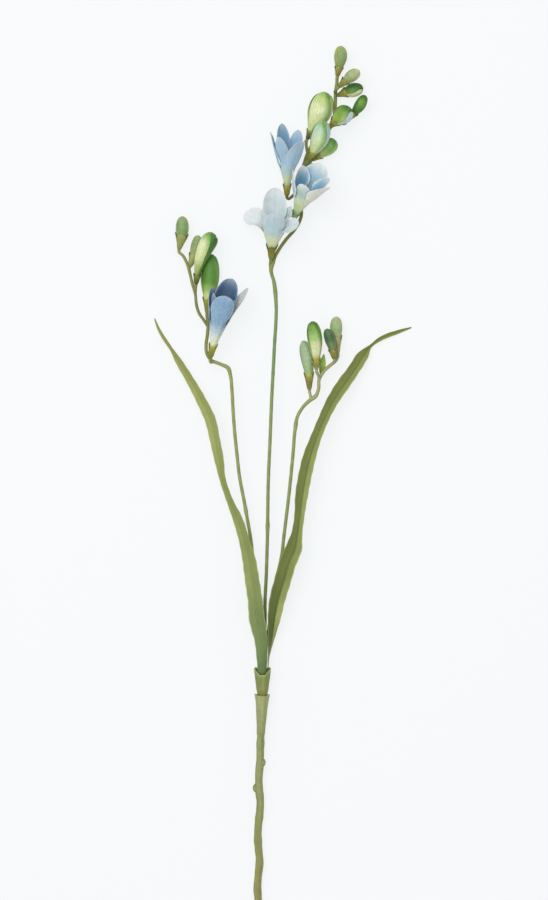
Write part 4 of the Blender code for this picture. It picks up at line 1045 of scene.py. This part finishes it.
# how far each calyx reaches up its flower or bud, and its colours from foot to tip
calyxes = {
    "plain": (5.0, [(0, "7c7f30"), (0.5, "878530"), (1, "a3a24a")]),
    "c1": (8.6, [(0, "85903f"), (0.4, "7d7d22"), (0.8, "77752a"), (1, "6f6a2c")]),
    "c2": (6.6, [(0, "6f6418"), (0.5, "8b8526"), (1, "aaa648")]),
    "c3": (6.0, [(0, "6f8a4c"), (0.5, "86a368"), (1, "9cb583")]),
    "l5": (8.6, [(0, "87862a"), (0.3, "838324"), (0.7, "96952a"), (1, "b6b24a")]),
    "bud_d": (4.8, [(0, "56571c"), (0.5, "5f6424"), (1, "9aa653")]),
    "bud_l3": (5.4, [(0, "4f5220"), (0.5, "5f6a24"), (1, "7f8a36")]),
    "bud_l4": (9.6, [(0, "8a9350"), (0.4, "83852c"), (0.8, "989a34"), (1, "b8bb5c")]),
    "bud_r1": (10.5, [(0, "86883c"), (0.4, "7f7a2a"), (0.75, "9c9838"), (1, "c4c26c")]),
    "bud_r2": (6.0, [(0, "a0a06a"), (0.4, "8a8a30"), (1, "a9a548")]),
    "bud_r4": (10.5, [(0, "a3a26c"), (0.5, "9d9c5e"), (0.85, "a7a872"), (1, "bfc08c")]),
    "bud_l1": (10.0, [(0, "8e9450"), (0.5, "959a52"), (1, "a3a55e")]),
    "bud_l2": (8.0, [(0, "959a58"), (0.5, "a2a564"), (1, "acae70")]),
}


# sizes that all calyxes and bracts share, and how a stalk comes up to its flower or bud
calyxForm = {
    "below": 2.4, "neck": 1.15, "clear": 0.55, "halfSpan": 74, "wall": 0.35, "rows": 12, "columns": 8,
    "heights": (0.86, 1.0, 1.04),
}
bractForm = {"wall": 0.5, "rise": 0.9, "rows": 18, "columns": 10, "colour": "6f7a2c"}
stalkForm = {"main": 1.2, "side": 1.05, "mainSteps": 1.3, "sideSteps": 1.2, "seat": (3.2, 1.0), "sides": 18}


def seatOf(key):
    if key in flowers:
        return Vector(flowers[key]["base"]), heading(flowers[key]["turn"], flowers[key]["rise"])
    return budCentre(key, 0), (budCentre(key, 0.06) - budCentre(key, 0)).normalized()


def footRadius(key, s):
    if key in flowers:
        return tubeRadius(flowers[key], max(s, 0.0))
    return budRadius(key, min(1.0, max(0.0, s) / budLength(key)))


def axisPoint(key, s):
    base, direction = seatOf(key)
    if key in flowers or s <= 0:
        return base + direction * s
    return budCentre(key, s / budLength(key))


def buildCalyx(key):
    deep, colours = calyxes.get(key, calyxes["plain"])
    direction = seatOf(key)[1]
    side, up = axesOf(direction)
    rows, below, neck, clear = (calyxForm[name] for name in ("rows", "below", "neck", "clear"))
    pieces = []
    for index in range(3):
        middle = math.radians(90 + 120 * index)
        tall = deep * calyxForm["heights"][index]

        def place(u, v):
            s = -below + (tall + below) * v
            if s < 0:
                reach = neck + (footRadius(key, 0) + clear - neck) * ease((s + below) / 2.2)
            else:
                reach = footRadius(key, s) + clear
            narrow = math.sqrt(max(0.0, 1 - max(0.0, (v - 0.35) / 0.65) ** 1.7))
            angle = middle - u * math.radians(calyxForm["halfSpan"]) * (0.04 + 0.96 * narrow)
            reach += 0.12 * u + 0.14 * math.exp(-((u / 0.25) ** 2)) + 0.25 * v**3
            return axisPoint(key, s) + (side * math.cos(angle) + up * math.sin(angle)) * reach

        def paint(u, v):
            shade = gradient(colours, v)
            shade = blend(shade, shade * 0.72, math.exp(-((u / 0.2) ** 2)) * (1 - v))
            # the sepal edges are painted 15% darker, painted shade along the seams where the sepals overlap
            return shade * (1 - 0.15 * ease((abs(u) - 0.85) / 0.15))

        pieces.append(makeSheet("sepal", calyxForm["columns"], rows, place, paint))
    whole = joinAll(pieces, "calyx")
    dress(whole, stemPlastic, stemPlastic)
    thicken(whole, calyxForm["wall"])
    return whole


def buildBract(base, tip, wide, text):
    base, tip = Vector(base), Vector(tip)
    side, up = axesOf((tip - base).normalized())
    high = bractForm["rise"]

    def place(u, v):
        half = wide / 2 * math.sin(math.pi * min(1.0, 0.16 + 0.84 * v)) ** 0.7 if v < 1 else 0.02
        rise = high * math.sin(math.pi * v) - high * u * u * (1 - v)
        return base.lerp(tip, v) + side * u * half + up * rise

    def paint(u, v):
        shade = blend(toLinear(bractForm["colour"]), toLinear(text), ease(v * 2))
        return shade * (1 - 0.2 * math.exp(-((u / 0.15) ** 2)))

    piece = makeSheet("bract", bractForm["columns"], bractForm["rows"], place, paint)
    dress(piece, stemPlastic, stemPlastic)
    thicken(piece, bractForm["wall"], 0.0)
    return piece


def buildStalk(name):
    made = stalks[name]

    def paint(u, point):
        return gradient(made["colours"], point[1]) * (1 + 0.07 * math.sin(point[1] * 0.55 + 3 * u))

    def toSeat(key, points):
        base, direction = seatOf(key)
        return points + [tuple(base - direction * back) for back in stalkForm["seat"]]

    pieces = []
    runs = [(made["endsIn"], made["route"], stalkForm["main"], stalkForm["mainSteps"], made["bumps"])]
    for key, points in made["branches"]:
        runs.append((key, points, stalkForm["side"], stalkForm["sideSteps"], []))
    for key, points, radius, perMm, bumps in runs:
        route = np.array(toSeat(key, points), float)
        length = np.linalg.norm(np.diff(route, axis=0), axis=1).sum()
        fine = smoothRoute(route, int(length * perMm) + 8)
        radii = [
            radius + sum(more * math.exp(-(((p[1] - y) / half) ** 2)) for y, more, half in bumps)
            + 0.03 * math.sin(k * 0.6)
            for k, p in enumerate(fine)
        ]
        tube = makeTube("stalk", fine, radii, stalkForm["sides"], paint, 0.035, 5)
        dress(tube, stemPlastic)
        pieces.append(tube)
        pieces.append(buildCalyx(key))
    pieces += [buildBract(*values) for values in made["bracts"]]
    whole = joinAll(pieces, name.replace("stalk_", "stalk") + "Fine")
    settle(whole, [name], 60)


for name in stalks:
    buildStalk(name)
print("stalks made")


# A plain pale floor, soft light from above, and the camera straight over the spray. The floor glows, so
# that shadows stay as faint as the photo's.
studio = {
    "floorSize": 12, "floorColour": "f8fafb", "floorShare": 0.12, "floorGlow": 0.84, "worldStrength": 0.62,
    "keyWatts": 30.0, "keySize": 1.6, "keyPlace": (-0.5, 0.55, 1.9),
    "cameraPlace": (-0.0063, 0.0256, 3.012), "lens": 171.4, "sensor": 36, "farthest": 50,
}


def buildStudio():
    bpy.ops.object.select_all(action="DESELECT")
    bpy.ops.mesh.primitive_plane_add(size=studio["floorSize"])
    floor = bpy.context.object
    floor.name = "floor"
    paper = bpy.data.materials.new("paleMattPaper")
    paper.use_nodes = True
    shader = paper.node_tree.nodes["Principled BSDF"]
    shader.inputs["Base Color"].default_value = (*toLinear(studio["floorColour"]) * studio["floorShare"], 1)
    shader.inputs["Roughness"].default_value = 0.9
    shader.inputs["Emission Color"].default_value = (*toLinear(studio["floorColour"]), 1)
    shader.inputs["Emission Strength"].default_value = studio["floorGlow"]
    floor.data.materials.append(paper)
    world = bpy.data.worlds.new("softRoom")
    bpy.context.scene.world = world
    world.use_nodes = True
    world.node_tree.nodes["Background"].inputs["Color"].default_value = (1, 1, 1, 1)
    world.node_tree.nodes["Background"].inputs["Strength"].default_value = studio["worldStrength"]
    bpy.ops.object.light_add(type="AREA", location=studio["keyPlace"])
    key = bpy.context.object
    key.data.energy = studio["keyWatts"]
    key.data.size = studio["keySize"]
    key.rotation_euler = (Vector((0, 0, 0)) - key.location).to_track_quat("-Z", "Y").to_euler()
    bpy.ops.object.camera_add(location=studio["cameraPlace"], rotation=(0, 0, 0))
    camera = bpy.context.object
    camera.data.sensor_fit = "VERTICAL"
    camera.data.sensor_height = studio["sensor"]
    camera.data.lens = studio["lens"]
    camera.data.clip_end = studio["farthest"]
    bpy.context.scene.camera = camera
    bpy.context.scene.view_settings.view_transform = "Standard"
    bpy.context.scene.view_settings.look = "None"


buildStudio()
print("studio made")
